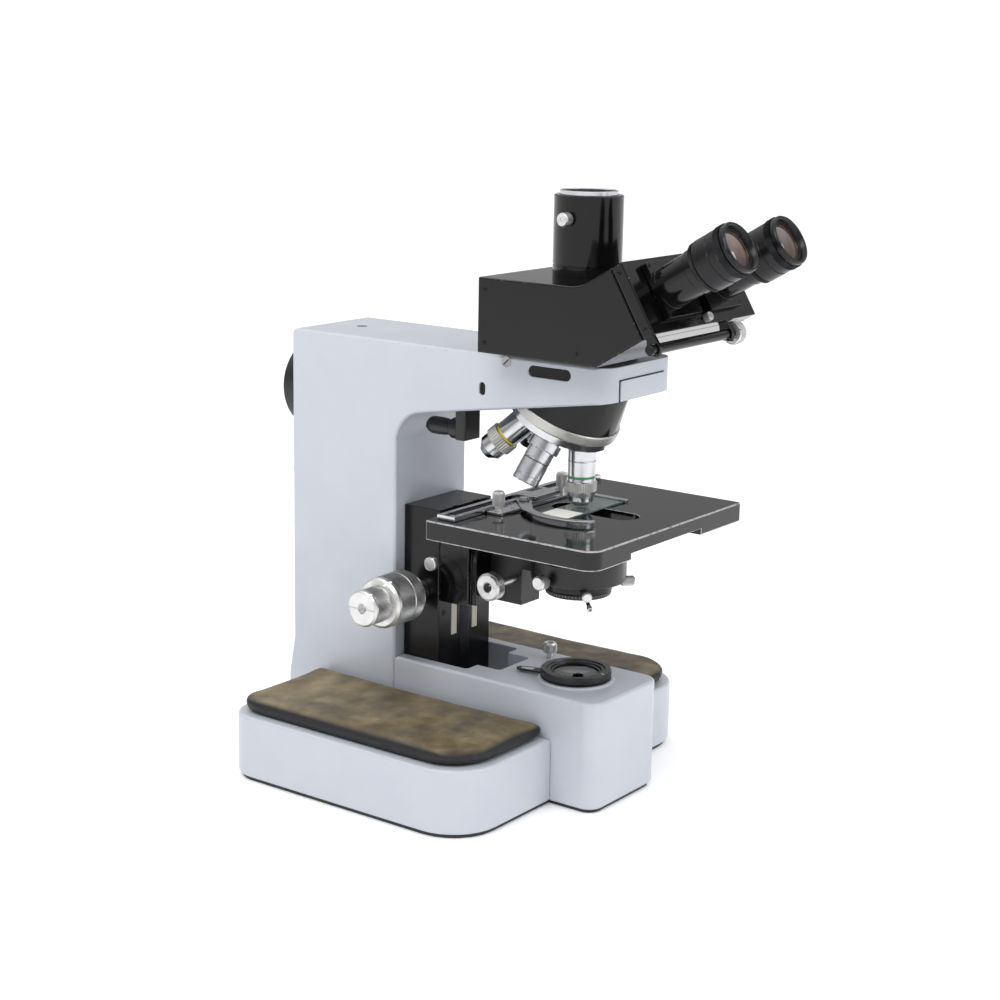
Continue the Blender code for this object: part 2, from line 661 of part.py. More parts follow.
# ---- Stage ---------------------------------------------------------------------------------------
def build_stage_bracket(lift):
    """Moving bracket on the upright ways, with the table that carries the stage."""
    rear = HOUSING_FRONT - GAP
    table = STAGE_TOP - STAGE_THICK - STAGE_RAIL_DEEP - GAP
    corners = rectangle(-HOUSING_HALF, BRACKET_FRONT, HOUSING_HALF, rear, 1.2)
    bracket = prism("stage_bracket", rounded(corners, 2), BRACKET_LOW, table, PAINT["gloss"], parent=lift)
    arch_z = BRACKET_LOW + (table - BRACKET_LOW) / 2
    arch = arc((0, arch_z), ARCH_RADIUS, 0, 180, 12)
    arch += [(-ARCH_RADIUS, BRACKET_LOW + 1), (ARCH_RADIUS, BRACKET_LOW + 1)]
    tool = prism("join_arch", arch, BRACKET_FRONT - ARCH_TALL, BRACKET_FRONT + 2, None, axis="Y", parent=lift)
    apply_tool(bracket, tool, "UNION")
    table_front = CONDENSER_RADIUS + 12
    for side, sign in SIDES.items():
        x = sorted((sign * (BRACKET_WEB - 6), sign * BRACKET_WEB))
        beam = slab("join_beam_" + side, (x[0], table_front, table - 14),
                    (x[1], BRACKET_FRONT + 2, table), None, parent=lift)
        apply_tool(bracket, beam, "UNION")


def stage_outline():
    """Plan of the stage plate, with one large corner at the left front."""
    return rounded([
        (STAGE_LEFT, STAGE_FRONT, STAGE_CORNER),
        (STAGE_RIGHT, STAGE_FRONT, STAGE_SMALL_CORNER),
        (STAGE_RIGHT, STAGE_REAR, STAGE_SMALL_CORNER),
        (STAGE_LEFT, STAGE_REAR, STAGE_SMALL_CORNER)], 6)


def build_stage(cross):
    """Plate with a long light slot, deep side rails below and the drive stud at the right rear."""
    low = STAGE_TOP - STAGE_THICK
    deep = low - STAGE_RAIL_DEEP
    plate = prism("stage_plate", stage_outline(), deep, STAGE_TOP, PAINT["gloss"], parent=cross, soft=0.6)
    hollow = rectangle(STAGE_RAIL_IN_LEFT, STAGE_FRONT - CUT_OVER, STAGE_RAIL_IN_RIGHT, STAGE_REAR + CUT_OVER)
    apply_tool(plate, prism("cut_underside", rounded(hollow), deep - CUT_OVER, low, None, parent=cross))
    slot = rectangle(-STAGE_SLOT_HALF, STAGE_SLOT_FRONT, STAGE_SLOT_HALF, STAGE_SLOT_REAR,
                     STAGE_SLOT_HALF - 0.01)
    opening = prism("cut_slot", rounded(slot), deep - CUT_OVER, STAGE_TOP + CUT_OVER, None, parent=cross)
    apply_tool(plate, opening)
    x, y = DRIVE_AT
    stud = turned("join_drive_stud", rod(4.0, -DRIVE_LONG - 4, 2), None, at=(x, y, deep), parent=cross,
                  sides=SMALL)
    apply_tool(plate, stud, "UNION")
    for name, radius, top, tall in (("stage_y_knob", 14.0, 6.0, 15.0), ("stage_x_knob", 11.0, 22.0, 18.0)):
        axis = pivot(name + "_axis", (x, y, deep), parent=cross)
        section = pipe(4.0 + GAP, radius, -top - tall, -top, 1.0)
        turned(name, section, PAINT["satin"], at=(x, y, deep), parent=axis, sides=SMALL)


def build_rails(cross):
    """Two ground guide rails tied together at their ends, screwed down along the rear of the stage."""
    low = STAGE_TOP + GAP
    front = RAIL_Y[0]
    rear = RAIL_Y[1] + RAIL_WIDE
    left = STAGE_LEFT + 7.5
    right = STAGE_RIGHT - 4
    frame = slab("rail_frame", (left, front, low), (right, rear, low + RAIL_HIGH), PAINT["chrome"],
                 parent=cross)
    window = slab("cut_rails", (left + 6, front + RAIL_WIDE, low - 2),
                  (right - 6, rear - RAIL_WIDE, low + RAIL_HIGH + 2), None, parent=cross)
    apply_tool(frame, window)


def build_holder(carriage):
    """Object holder: a flat plate with a fixed finger on the right and the slide lying against it."""
    low = STAGE_TOP + GAP
    high = low + HOLDER_THICK
    slide_right = SLIDE_LEFT + SLIDE_LONG
    outline = [
        (HOLDER_LEFT, HOLDER_FRONT + 2, 3), (slide_right + GAP, HOLDER_FRONT, 0),
        (slide_right + GAP, SLIDE_FRONT - 2, 1), (slide_right + 5, SLIDE_FRONT - 2, 1),
        (HOLDER_RIGHT, HOLDER_FRONT, 4), (HOLDER_RIGHT, HOLDER_REAR, 2), (HOLDER_LEFT, HOLDER_REAR, 2),
    ]
    plate = prism("holder_plate", rounded(outline, 3), low, high, PAINT["chrome"], parent=carriage)
    px, py = FINGER_PIVOT
    pin = turned("join_pivot_pin", rod(PIVOT_RADIUS, 0, HOLDER_THICK + 3.4), None, at=(px, py, high - 1),
                 parent=carriage, sides=SMALL)
    apply_tool(plate, pin, "UNION")
    bridge = slab("join_bridge", (px + 8, HOLDER_FRONT + 4, low + 1),
                  (px + 40, RAIL_Y[1] - 2, low + RAIL_HIGH + GAP + 2), None, parent=carriage)
    notch = slab("cut_bridge", (px, RAIL_Y[0] - GAP, low - 2),
                 (px + 60, RAIL_Y[0] + RAIL_WIDE + GAP, low + RAIL_HIGH + GAP), None, parent=carriage)
    apply_tool(plate, bridge, "UNION")
    apply_tool(plate, notch)
    slab("specimen_slide", (SLIDE_LEFT, SLIDE_FRONT, low),
         (slide_right, SLIDE_FRONT + SLIDE_WIDE, low + SLIDE_THICK), PAINT["glass"], parent=carriage)
    for side, (x, y) in (("left", THUMB_LEFT), ("right", THUMB_RIGHT)):
        stem = THUMB_RADIUS * 0.55
        start = 3.5
        top = start + THUMB_TALL
        screw = [(0, 0), (stem, 0), (stem, start), (THUMB_RADIUS, start), (THUMB_RADIUS, top - EDGE_BREAK),
                 (THUMB_RADIUS - EDGE_BREAK, top), (0, top)]
        turned("holder_screw_" + side, screw, PAINT["aluminium"], at=(x, y, high + GAP), parent=carriage,
               sides=SMALL)


def build_finger(carriage):
    """Sprung crescent finger that turns on the pivot and presses the slide's left end."""
    px, py = FINGER_PIVOT
    low = STAGE_TOP + GAP + HOLDER_THICK + GAP
    high = low + 1.6
    hinge = pivot("finger_axis", (px, py, low), parent=carriage)
    outer = arc((-2.0, -10.0), 52.0, 134, 212, 12)
    inner = arc((4.0, -12.0), 51.0, 212, 146, 12)
    hub = arc((px, py), PIVOT_RADIUS + 3.4, -80, 100, 8)
    outline = outer + inner + hub
    finger = prism("spring_finger", outline, low, high, PAINT["chrome"], parent=hinge)
    bore = turned("cut_finger_hole", rod(PIVOT_RADIUS + GAP, low - 3, high + 3), None, at=(px, py, 0),
                  parent=hinge, sides=SMALL)
    apply_tool(finger, bore)


# ---- Condenser -----------------------------------------------------------------------------------
def build_carrier(rise):
    """Slide plate on the bracket with the ring that the condenser sits in."""
    rear = BRACKET_FRONT - ARCH_TALL - GAP
    ring_low = CONDENSER_TOP - 24
    ring_high = CONDENSER_TOP - 8
    carrier = slab("condenser_carrier", (-CARRIER_HALF, CARRIER_FRONT, CARRIER_LOW),
                   (CARRIER_HALF, rear, CARRIER_TOP), PAINT["satin"], parent=rise)
    ring = turned("join_carrier_ring", rod(CARRIER_RING, ring_low, ring_high), None, parent=rise)
    apply_tool(carrier, ring, "UNION")
    web = slab("join_carrier_web", (-CARRIER_HALF, 20, ring_low + 1), (CARRIER_HALF, CARRIER_FRONT + 5,
                                                                      ring_high - 1), None, parent=rise)
    apply_tool(carrier, web, "UNION")
    bore = rod(CONDENSER_RADIUS + GAP, CARRIER_LOW - CUT_OVER, CARRIER_TOP + CUT_OVER)
    seat = turned("cut_condenser_seat", bore, None, parent=rise, sides=ROUND + 9)
    apply_tool(carrier, seat)
    bore = rod(3.0 + GAP, -CARRIER_HALF - CUT_OVER, CARRIER_HALF + CUT_OVER)
    shaft = turned("cut_carrier_shaft", bore, None,
                   at=(0, CONDENSER_KNOB_Y, CONDENSER_KNOB_Z), direction=(1, 0, 0), parent=rise, sides=SMALL)
    apply_tool(carrier, shaft)
    clamp_hole = turned("cut_clamp_hole", rod(PIN_RADIUS + GAP, 0, 60), None, at=(0, CLAMP_Y, CLAMP_Z),
                        direction=(-1, 0, 0), parent=rise, sides=SMALL)
    apply_tool(carrier, clamp_hole)


def build_condenser(rise):
    """Condenser: turned body with a narrow top, the iris ring below and two centring screws."""
    bore = 8.0
    body = [
        (bore, CONDENSER_LOW), (CONDENSER_LOW_RADIUS, CONDENSER_LOW),
        (CONDENSER_LOW_RADIUS, CONDENSER_LOW + 7), (CONDENSER_RADIUS, CONDENSER_LOW + 12),
        (CONDENSER_RADIUS, CONDENSER_TOP), (CONDENSER_RADIUS - 6, CONDENSER_TOP + 3),
        (STAGE_SLOT_HALF + 2, CONDENSER_TOP + 8), (STAGE_SLOT_HALF - 2, CONDENSER_TOP + 16),
        (STAGE_SLOT_HALF - 2, CONDENSER_TIP - 1), (STAGE_SLOT_HALF - 3, CONDENSER_TIP), (bore, CONDENSER_TIP),
    ]
    condenser = turned("condenser_body", body, PAINT["gloss"], parent=rise)
    for side, angle in CENTRING_ANGLES.items():
        turn = math.radians(angle)
        out = (math.cos(turn), math.sin(turn), 0)
        passage = rod(PIN_RADIUS + GAP, CONDENSER_LOW_RADIUS - 5, CONDENSER_RADIUS + CUT_OVER)
        hole = turned("cut_centring_" + side, passage, None, at=(0, 0, CENTRING_Z), direction=out,
                      parent=rise, sides=SMALL)
        apply_tool(condenser, hole)
        start = CONDENSER_LOW_RADIUS - 5 + GAP
        screw = [(0, start), (PIN_RADIUS, start), (PIN_RADIUS, CENTRING_REACH - 11),
                 (3.9, CENTRING_REACH - 10), (3.9, CENTRING_REACH - 0.5),
                 (3.4, CENTRING_REACH), (0, CENTRING_REACH)]
        turned("centring_screw_" + side, screw, PAINT["aluminium"], at=(0, 0, CENTRING_Z), direction=out,
               parent=rise, sides=SMALL)
    iris = pivot("iris_axis", (0, 0, IRIS_LOW), parent=rise)
    ring = turned("iris_ring", pipe(bore, IRIS_RADIUS, IRIS_LOW, CONDENSER_LOW - GAP, 0.8), PAINT["satin"],
                  parent=iris)
    turn = math.radians(IRIS_LEVER_ANGLE)
    root = IRIS_RADIUS - 1
    lever = turned("join_iris_lever", rod(1.5, -1, IRIS_LEVER_LONG), None,
                   at=(root * math.cos(turn), root * math.sin(turn), IRIS_LOW + 1.9),
                   direction=(math.cos(turn), math.sin(turn), -IRIS_LEVER_DROP), parent=iris, sides=12)
    apply_tool(ring, lever, "UNION")


def build_condenser_knobs(rise):
    at = (0, CONDENSER_KNOB_Y, CONDENSER_KNOB_Z)
    axis = pivot("condenser_knob_axis", at, parent=rise)
    tip = CONDENSER_KNOB_TIP
    profile = [(0, -CARRIER_HALF - 2), (3.0, -CARRIER_HALF - 2), (3.0, tip - CONDENSER_KNOB_THICK),
               (CONDENSER_KNOB_RADIUS, tip - CONDENSER_KNOB_THICK), (CONDENSER_KNOB_RADIUS, tip - 0.8),
               (CONDENSER_KNOB_RADIUS - 0.8, tip), (0, tip)]
    turned("condenser_knob", profile, PAINT["aluminium"], at=at, direction=(-1, 0, 0), parent=axis,
           sides=SMALL)
    start = CONDENSER_RADIUS + GAP
    clamp = [(0, start), (PIN_RADIUS, start), (PIN_RADIUS, start + 9), (CLAMP_RADIUS, start + 9),
             (CLAMP_RADIUS, start + CLAMP_LONG), (0, start + CLAMP_LONG)]
    turned("condenser_clamp", clamp, PAINT["aluminium"], at=(0, CLAMP_Y, CLAMP_Z),
           direction=(-1, 0, 0), parent=rise, sides=SMALL)


# ---- Nosepiece -----------------------------------------------------------------------------------
def turret_frame():
    """The turret's own frame: origin at the middle of the seat circle, Z up along its tilted axis."""
    tilt = math.radians(TURRET_TILT)
    centre = (0, SEAT_CIRCLE * math.cos(tilt), SEAT_Z + SEAT_CIRCLE * math.sin(tilt))
    return centre


def build_bowl():
    """Black fixed shell of the nosepiece, reaching up into the pocket of the arm."""
    centre = turret_frame()
    low = RING_HIGH + GAP
    shell = [(0, low), (RING_RADIUS - 1, low), (BOWL_TOP_RADIUS, BOWL_LONG + 20), (0, BOWL_LONG + 20)]
    bowl = turned("nosepiece_bowl", shell, PAINT["gloss"], at=centre, tilt=TURRET_TILT)
    ceiling = POCKET_TOP - GAP
    reach = RING_RADIUS + 60
    apply_tool(bowl, slab("cut_bowl_top", (-reach, -reach, ceiling), (reach, reach, ceiling + 80), None))
    rear = slab("cut_bowl_rear", (-reach, POCKET_REAR - GAP, SEAT_Z), (reach, reach * 2, ceiling + 50), None)
    apply_tool(bowl, rear)
    front = slab("cut_bowl_front", (-reach, -reach * 2, SEAT_Z), (reach, POCKET_FRONT + GAP, ceiling + 50),
                 None)
    apply_tool(bowl, front)
    apply_tool(bowl, turned("cut_bowl_light", rod(THREAD_RADIUS, SEAT_Z, ceiling + 20), None, sides=SMALL))


def build_turret(turret):
    """Turning disc with five threaded seats, and the grey rim ring that the fingers turn it by."""
    centre = turret_frame()
    slope = math.tan(math.radians(TURRET_TILT))
    rim = (TURRET_RIM - SEAT_CIRCLE) * slope
    point = -SEAT_CIRCLE * slope
    top = RING_HIGH - GAP
    inner = RING_RADIUS - 6
    edge = TURRET_RIM - 1.5
    disc = [(0, point + 2.5), (5, point + 3.2), (edge, rim - 1.0), (edge, RING_LOW - GAP),
            (inner - GAP, RING_LOW - GAP), (inner - GAP, top), (0, top)]
    body = turned("turret", disc, PAINT["chrome"], at=centre, tilt=TURRET_TILT, parent=turret)
    turned("turret_ring", pipe(inner, RING_RADIUS, RING_LOW, RING_HIGH, 1.0), PAINT["rim"], at=centre,
           tilt=TURRET_TILT, parent=turret)
    for number in range(POSITIONS):
        seat = seat_frame(number)
        hole = [(0, -20), (SEAT_FACE, -20), (SEAT_FACE, 0), (THREAD_RADIUS + GAP, 0),
                (THREAD_RADIUS + GAP, THREAD_LONG + 1), (OBJECTIVE_LIGHT, THREAD_LONG + 1),
                (OBJECTIVE_LIGHT, 40), (0, 40)]
        bore = turned("cut_seat_%d" % (number + 1), hole, None, parent=turret, sides=22)
        bore.matrix_world = seat
        apply_tool(body, bore)


def seat_frame(number):
    """Frame of one objective seat: origin on the seat, Z up into the turret."""
    centre = turret_frame()
    axis = axis_frame(centre, TURRET_TILT)
    working = Matrix.Translation(to_metres((0, 0, SEAT_Z)))
    turn = Matrix.Rotation(-2 * math.pi * number / POSITIONS, 4, "Z")
    return axis @ turn @ axis.inverted() @ working


def build_objectives(turret):
    """Five parfocal objectives. Each profile is (radius, distance below the seat)."""
    shapes = {
        1: [(10.5, 0.3), (10.5, 23.5), (11.9, 24.0), (11.9, 31.7), (10.5, 32.2), (10.5, 39.2), (6.0, 42.6)],
        2: [(12.3, 0.3), (12.3, 7.5), (10.1, 7.8), (10.1, 34.0), (9.4, 34.6)],
        3: [(10.5, 0.3), (10.5, 21.0), (12.0, 21.6), (12.0, 29.0), (10.6, 29.6), (10.4, 36.5), (5.0, 42.4)],
        4: [(10.5, 0.3), (10.5, 18.0), (11.6, 18.4), (11.6, 26.0), (9.0, 28.0), (8.0, 38.0), (4.0, 42.4)],
        5: [(11.5, 0.3), (11.5, 10.0), (10.0, 10.4), (10.0, 28.0), (8.6, 29.0)],
    }
    for number, shape in shapes.items():
        profile = [(0, THREAD_LONG), (THREAD_RADIUS, THREAD_LONG), (THREAD_RADIUS, -0.3)]
        profile += [(radius, -drop) for radius, drop in shape]
        profile += [(0, -shape[-1][1])]
        objective = turned("objective_%d" % number, profile, PAINT["chrome"], parent=turret, sides=22)
        objective.matrix_world = seat_frame(number - 1)


def build_lock():
    """Black handle behind the nosepiece that locks it in the arm, turning in a bracket below the arm."""
    rear = LOCK_FRONT - GAP
    front = rear - LOCK_BRACKET
    slab("lock_bracket", (LOCK_X - LOCK_BRACKET, front, LOCK_Z - LOCK_RADIUS),
         (LOCK_X + LOCK_BRACKET, rear, arm_underside(rear) - GAP), PAINT["satin"], radius=2)
    long = LOCK_REAR - LOCK_FRONT
    profile = [(0, 0), (8.0, 0), (8.0, 8), (LOCK_RADIUS, 11), (LOCK_RADIUS, long - 4),
               (LOCK_RADIUS * 0.7, long - 1), (0, long)]
    turned("nosepiece_lock", profile, PAINT["satin"], at=(LOCK_X, LOCK_FRONT, LOCK_Z), direction=(0, 1, 0),
           sides=SMALL)


# ---- Head ----------------------------------------------------------------------------------------
TILT = math.radians(HEAD_TILT)
LOOK = Vector((0, -math.cos(TILT), math.sin(TILT)))      # direction the eyepieces point
RISE = Vector((0, math.sin(TILT), math.cos(TILT)))       # up the tilted front face
LOW_FRONT = Vector((0, DUCT_FRONT[0], DUCT_FRONT[1]))


def head_outline(front_step, wall):
    """Side profile of the head as (Y, Z, radius), cut back from the front face and drawn in by a wall."""
    low = LOW_FRONT - LOOK * front_step + RISE * wall
    high = low + RISE * (DUCT_TALL - 2 * wall)
    bottom = HEAD_BOTTOM + wall
    top = HEAD_TOP - wall
    back = HEAD_BACK - wall
    run_low = (low.z - bottom) / math.sin(TILT)
    run_high = (high.z - top) / math.sin(TILT)
    knee = low - LOOK * run_low
    neck = high - LOOK * run_high
    return [(back, bottom, 0), (knee.y, knee.z, 0), (low.y, low.z, 0), (high.y, high.z, 0),
            (neck.y, neck.z, HEAD_FILLET), (back, top, 0)]


def build_head():
    """Prism housing as a hollow casting, closed at the front by a screwed cap."""
    body = prism("head_body", rounded(head_outline(CAP_THICK + GAP, 0), 5), -HEAD_HALF, HEAD_HALF,
                 PAINT["gloss"], axis="X", soft=0.8)
    half = HEAD_HALF - HEAD_WALL
    inside = rounded(head_outline(CAP_THICK - CUT_OVER, HEAD_WALL), 5)
    hollow = prism("cut_head", inside, -half, half, None, axis="X")
    apply_tool(body, hollow)
    path = rod(LIGHT_BORE, HEAD_BOTTOM - CUT_OVER, HEAD_BOTTOM + 12)
    apply_tool(body, turned("cut_head_light", path, None))
    apply_tool(body, turned("cut_head_tube", rod(TUBE_BORE, HEAD_TOP - 12, HEAD_TOP + CUT_OVER), None))
    build_cap()


def build_cap():
    """Thick front cap with two light windows and the two lugs of the beam rod below."""
    back = LOW_FRONT - LOOK * CAP_THICK
    outline = [(back.y, back.z), (LOW_FRONT.y, LOW_FRONT.z),
               tuple((LOW_FRONT + RISE * DUCT_TALL)[1:]), tuple((back + RISE * DUCT_TALL)[1:])]
    cap = prism("head_cap", outline, -HEAD_HALF, HEAD_HALF, PAINT["gloss"], axis="X", soft=0.8)
    middle = LOW_FRONT + RISE * (DUCT_TALL / 2 + SLIDE_PLATE_RISE)
    for side, sign in SIDES.items():
        centre = middle + Vector((sign * PUPIL_HALF, 0, 0))
        window = turned("cut_cap_" + side, rod(EYEPIECE_SHANK, -CAP_THICK - CUT_OVER, 5), None, at=centre,
                        tilt=90 - HEAD_TILT, sides=24)
        apply_tool(cap, window)
    half = BEAM_RADIUS + 1.2
    low = BEAM_Z - half
    shape = [(BEAM_Y - half, low), (BEAM_Y + half, low), (LOW_FRONT.y + 7, LOW_FRONT.z - 2),
             (LOW_FRONT.y + 1.5, LOW_FRONT.z + 0.5), (BEAM_Y - half, BEAM_Z + 2)]
    for side, x in BEAM_LUGS.items():
        lug = prism("join_lug_" + side, shape, x - BEAM_LUG_HALF, x + BEAM_LUG_HALF, None, axis="X")
        apply_tool(cap, lug, "UNION")
    path = rod(BEAM_RADIUS + GAP, -HEAD_HALF - 20, HEAD_HALF + 20)
    hole = turned("cut_beam_path", path, None, at=(0, BEAM_Y, BEAM_Z), direction=(1, 0, 0), sides=SMALL)
    apply_tool(cap, hole)


def build_eyepieces():
    """Two slide plates with their sleeves, moving apart for the eyes, and a plug-in eyepiece in each."""
    middle = LOW_FRONT + RISE * (DUCT_TALL / 2 + SLIDE_PLATE_RISE)
    for side, sign in SIDES.items():
        centre = middle + Vector((sign * PUPIL_HALF, 0, 0))
        slide = pivot("pupil_slide_" + side, centre)
        edges = sorted((sign * SLIDE_PLATE_INNER, sign * SLIDE_PLATE_OUTER))
        half = SLIDE_PLATE_TALL / 2
        centre_x = sign * PUPIL_HALF
        shape = rounded(rectangle(edges[0] - centre_x, -half, edges[1] - centre_x, half, 1.5), 2)
        plate = prism("eyepiece_tube_" + side, shape, GAP, SLIDE_PLATE_THICK, PAINT["gloss"], at=centre,
                      tilt=90 - HEAD_TILT, parent=slide)
        sleeve = turned("join_sleeve_" + side, rod(SLEEVE_RADIUS, 1, SLEEVE_LONG), None, at=centre,
                        tilt=90 - HEAD_TILT, parent=slide)
        apply_tool(plate, sleeve, "UNION")
        bore = turned("cut_sleeve_" + side, rod(EYEPIECE_SHANK, -5, SLEEVE_LONG + CUT_OVER), None, at=centre,
                      tilt=90 - HEAD_TILT, parent=slide)
        apply_tool(plate, bore)
        start = SLEEVE_LONG + GAP
        shank = EYEPIECE_SHANK - GAP
        collar = EYEPIECE_RADIUS - 1.6
        glass = EYEPIECE_RADIUS * 0.6
        eyepiece = [
            (0, start - 20), (shank, start - 20), (shank, start), (collar, start), (collar, start + 3.5),
            (EYEPIECE_RADIUS - 0.6, start + 4.5), (EYEPIECE_RADIUS - 0.6, EYEPIECE_LONG - 9),
            (EYEPIECE_RADIUS, EYEPIECE_LONG - 8.5), (EYEPIECE_RADIUS, EYEPIECE_LONG - 4.2),
            (EYEPIECE_RADIUS - 1.0, EYEPIECE_LONG - 3.8), (EYEPIECE_RADIUS - 1.0, EYEPIECE_LONG - 0.8),
            (EYEPIECE_RADIUS - 1.8, EYEPIECE_LONG), (glass + 2.5, EYEPIECE_LONG),
            (glass, EYEPIECE_LONG - 2.5), (0, EYEPIECE_LONG - 2.5)]
        turned("eyepiece_" + side, eyepiece, PAINT["satin"], at=centre, tilt=90 - HEAD_TILT, parent=slide)
    margin = (DUCT_TALL - SLIDE_PLATE_TALL) / 2 + SLIDE_PLATE_RISE
    wheel_at = LOW_FRONT + RISE * margin / 2
    turned("ipd_wheel", rod(WHEEL_RADIUS - GAP, GAP, WHEEL_LONG, 0.4), PAINT["aluminium"], at=wheel_at,
           tilt=90 - HEAD_TILT, sides=SMALL)


def build_phototube():
    """Upright camera tube with a bright insert at the top and a clamp screw on the left."""
    low = HEAD_TOP + GAP
    tube = [(TUBE_BORE, low), (TUBE_RADIUS, low), (TUBE_RADIUS, TUBE_TOP - 1), (TUBE_RADIUS - 1, TUBE_TOP),
            (INSERT_RADIUS + GAP, TUBE_TOP), (INSERT_RADIUS + GAP, TUBE_TOP - 4), (TUBE_BORE, TUBE_TOP - 4)]
    body = turned("phototube", tube, PAINT["gloss"])
    insert = pipe(TUBE_BORE, INSERT_RADIUS, TUBE_TOP - 4 + GAP, TUBE_TOP + INSERT_RISE, 0.6)
    turned("tube_insert", insert, PAINT["chrome"])
    hole = turned("cut_tube_screw", rod(PIN_RADIUS + GAP, TUBE_BORE - 3, TUBE_RADIUS + CUT_OVER), None,
                  at=(0, 0, TUBE_SCREW_Z), direction=(-1, 0, 0), sides=SMALL)
    apply_tool(body, hole)
    head = TUBE_RADIUS + 1.2
    screw = [(0, TUBE_BORE + 1), (PIN_RADIUS, TUBE_BORE + 1), (PIN_RADIUS, head), (TUBE_SCREW_RADIUS, head),
             (TUBE_SCREW_RADIUS, TUBE_SCREW_REACH - 0.5), (TUBE_SCREW_RADIUS - 0.5, TUBE_SCREW_REACH),
             (0, TUBE_SCREW_REACH)]
    turned("tube_screw", screw, PAINT["aluminium"], at=(0, 0, TUBE_SCREW_Z), direction=(-1, 0, 0),
           sides=SMALL)


def build_beam_rod():
    """Push rod of the beam splitter, sliding in two lugs below the duct, with its knob on the right."""
    at = (0, BEAM_Y, BEAM_Z)
    slide = pivot("beam_axis", at)
    end = BEAM_RIGHT
    profile = [(0, BEAM_LEFT), (BEAM_RADIUS - 1, BEAM_LEFT), (BEAM_RADIUS, BEAM_LEFT + 1), (BEAM_RADIUS, end),
               (0, end)]
    turned("beam_rod", profile, PAINT["satin"], at=at, direction=(1, 0, 0), parent=slide, sides=SMALL)
    knob = rod(BEAM_KNOB_RADIUS, end + GAP, end + GAP + BEAM_KNOB_LONG, 0.8)
    turned("beam_knob", knob, PAINT["aluminium"], at=at, direction=(1, 0, 0), parent=slide, sides=24)


def build_microscope():
    clear_scene()
    mix_paints()
    build_base_plate()
    build_lamp_block()
    build_mirror()
    build_wings()
    build_field_fittings()
    build_stand_frame()
    build_arm_fittings()
    build_slide_housing()
    build_focus_knobs()
    lift = pivot("stage_lift", (0, HOUSING_FRONT, BRACKET_LOW))
    cross = pivot("stage_cross", (0, 0, STAGE_TOP), parent=lift)
    carriage = pivot("holder_carriage", (0, RAIL_Y[0], STAGE_TOP), parent=cross)
    rise = pivot("condenser_rise", (0, 0, CONDENSER_LOW), parent=lift)
    build_stage_bracket(lift)
    build_stage(cross)
    build_rails(cross)
    build_holder(carriage)
    build_finger(carriage)
    build_carrier(rise)
    build_condenser(rise)
    build_condenser_knobs(rise)
    turret = pivot("turret_axis", turret_frame(), TURRET_TILT)
    build_bowl()
    build_turret(turret)
    build_objectives(turret)
    build_lock()
    build_head()
    build_eyepieces()
    build_phototube()
    build_beam_rod()


build_microscope()
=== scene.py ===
import json
import math

import bmesh
import bpy
from mathutils import Matrix, Vector

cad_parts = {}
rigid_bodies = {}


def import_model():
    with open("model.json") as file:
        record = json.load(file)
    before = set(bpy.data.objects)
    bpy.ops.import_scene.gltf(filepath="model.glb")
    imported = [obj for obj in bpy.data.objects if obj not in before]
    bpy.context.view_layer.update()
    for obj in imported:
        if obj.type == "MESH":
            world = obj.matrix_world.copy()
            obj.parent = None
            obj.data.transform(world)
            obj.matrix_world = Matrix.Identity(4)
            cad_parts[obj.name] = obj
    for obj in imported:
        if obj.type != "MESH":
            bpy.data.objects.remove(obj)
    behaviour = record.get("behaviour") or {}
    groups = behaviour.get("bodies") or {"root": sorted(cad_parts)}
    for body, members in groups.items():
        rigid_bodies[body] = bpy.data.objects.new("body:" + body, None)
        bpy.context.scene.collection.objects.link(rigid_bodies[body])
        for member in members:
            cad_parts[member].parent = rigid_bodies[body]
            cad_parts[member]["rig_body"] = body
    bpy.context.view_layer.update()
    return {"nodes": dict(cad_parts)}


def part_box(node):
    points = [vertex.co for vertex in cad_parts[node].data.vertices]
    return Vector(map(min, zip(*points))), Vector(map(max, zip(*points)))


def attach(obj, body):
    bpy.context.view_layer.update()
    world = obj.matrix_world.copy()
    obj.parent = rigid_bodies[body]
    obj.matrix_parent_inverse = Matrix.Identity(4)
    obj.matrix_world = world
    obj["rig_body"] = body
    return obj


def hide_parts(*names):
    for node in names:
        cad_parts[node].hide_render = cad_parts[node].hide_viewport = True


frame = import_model()

# ---- Table, light and camera ----
# The microscope stands on a plain pale table top that runs out of sight, in the even light of a white
# room: bright ceiling, dim walls, and a white cove where the table ends. A wide lamp above its left
# shoulder models the castings, and a second fills in from the right.

MM = 0.001


def srgb(code):
    """The linear colour of an sRGB hex value."""
    channels = [int(code[place:place + 2], 16) / 255 for place in (0, 2, 4)]
    return (*(c / 12.92 if c <= 0.04045 else ((c + 0.055) / 1.055) ** 2.4 for c in channels), 1.0)


def add(tree, kind, settings=None, links=None):
    """Adds a node with its settings. A link is a value, a socket, or a node for its first output."""
    node = tree.nodes.new(kind)
    for name, value in (settings or {}).items():
        setattr(node, name, value)
    for key, value in (links or {}).items():
        for one in value if isinstance(value, list) else [value]:
            if isinstance(one, bpy.types.Node):
                one = one.outputs[0]
            if isinstance(one, bpy.types.NodeSocket):
                tree.links.new(one, node.inputs[key])
            else:
                node.inputs[key].default_value = one
    return node


def surface(name, colour, roughness, **constants):
    """A new material, the tree it is made in, and its shader with the values that are even all over."""
    material = bpy.data.materials.new(name)
    material.use_nodes = True
    tree = material.node_tree
    shader = tree.nodes["Principled BSDF"]
    shader.inputs["Base Color"].default_value = srgb(colour)
    shader.inputs["Roughness"].default_value = roughness
    for socket, value in constants.items():
        shader.inputs[socket.replace("_", " ")].default_value = value
    return material, tree, shader


def per(size):
    """Texture scale at which one feature of a pattern measures this many millimetres."""
    return 1 / (size * MM)


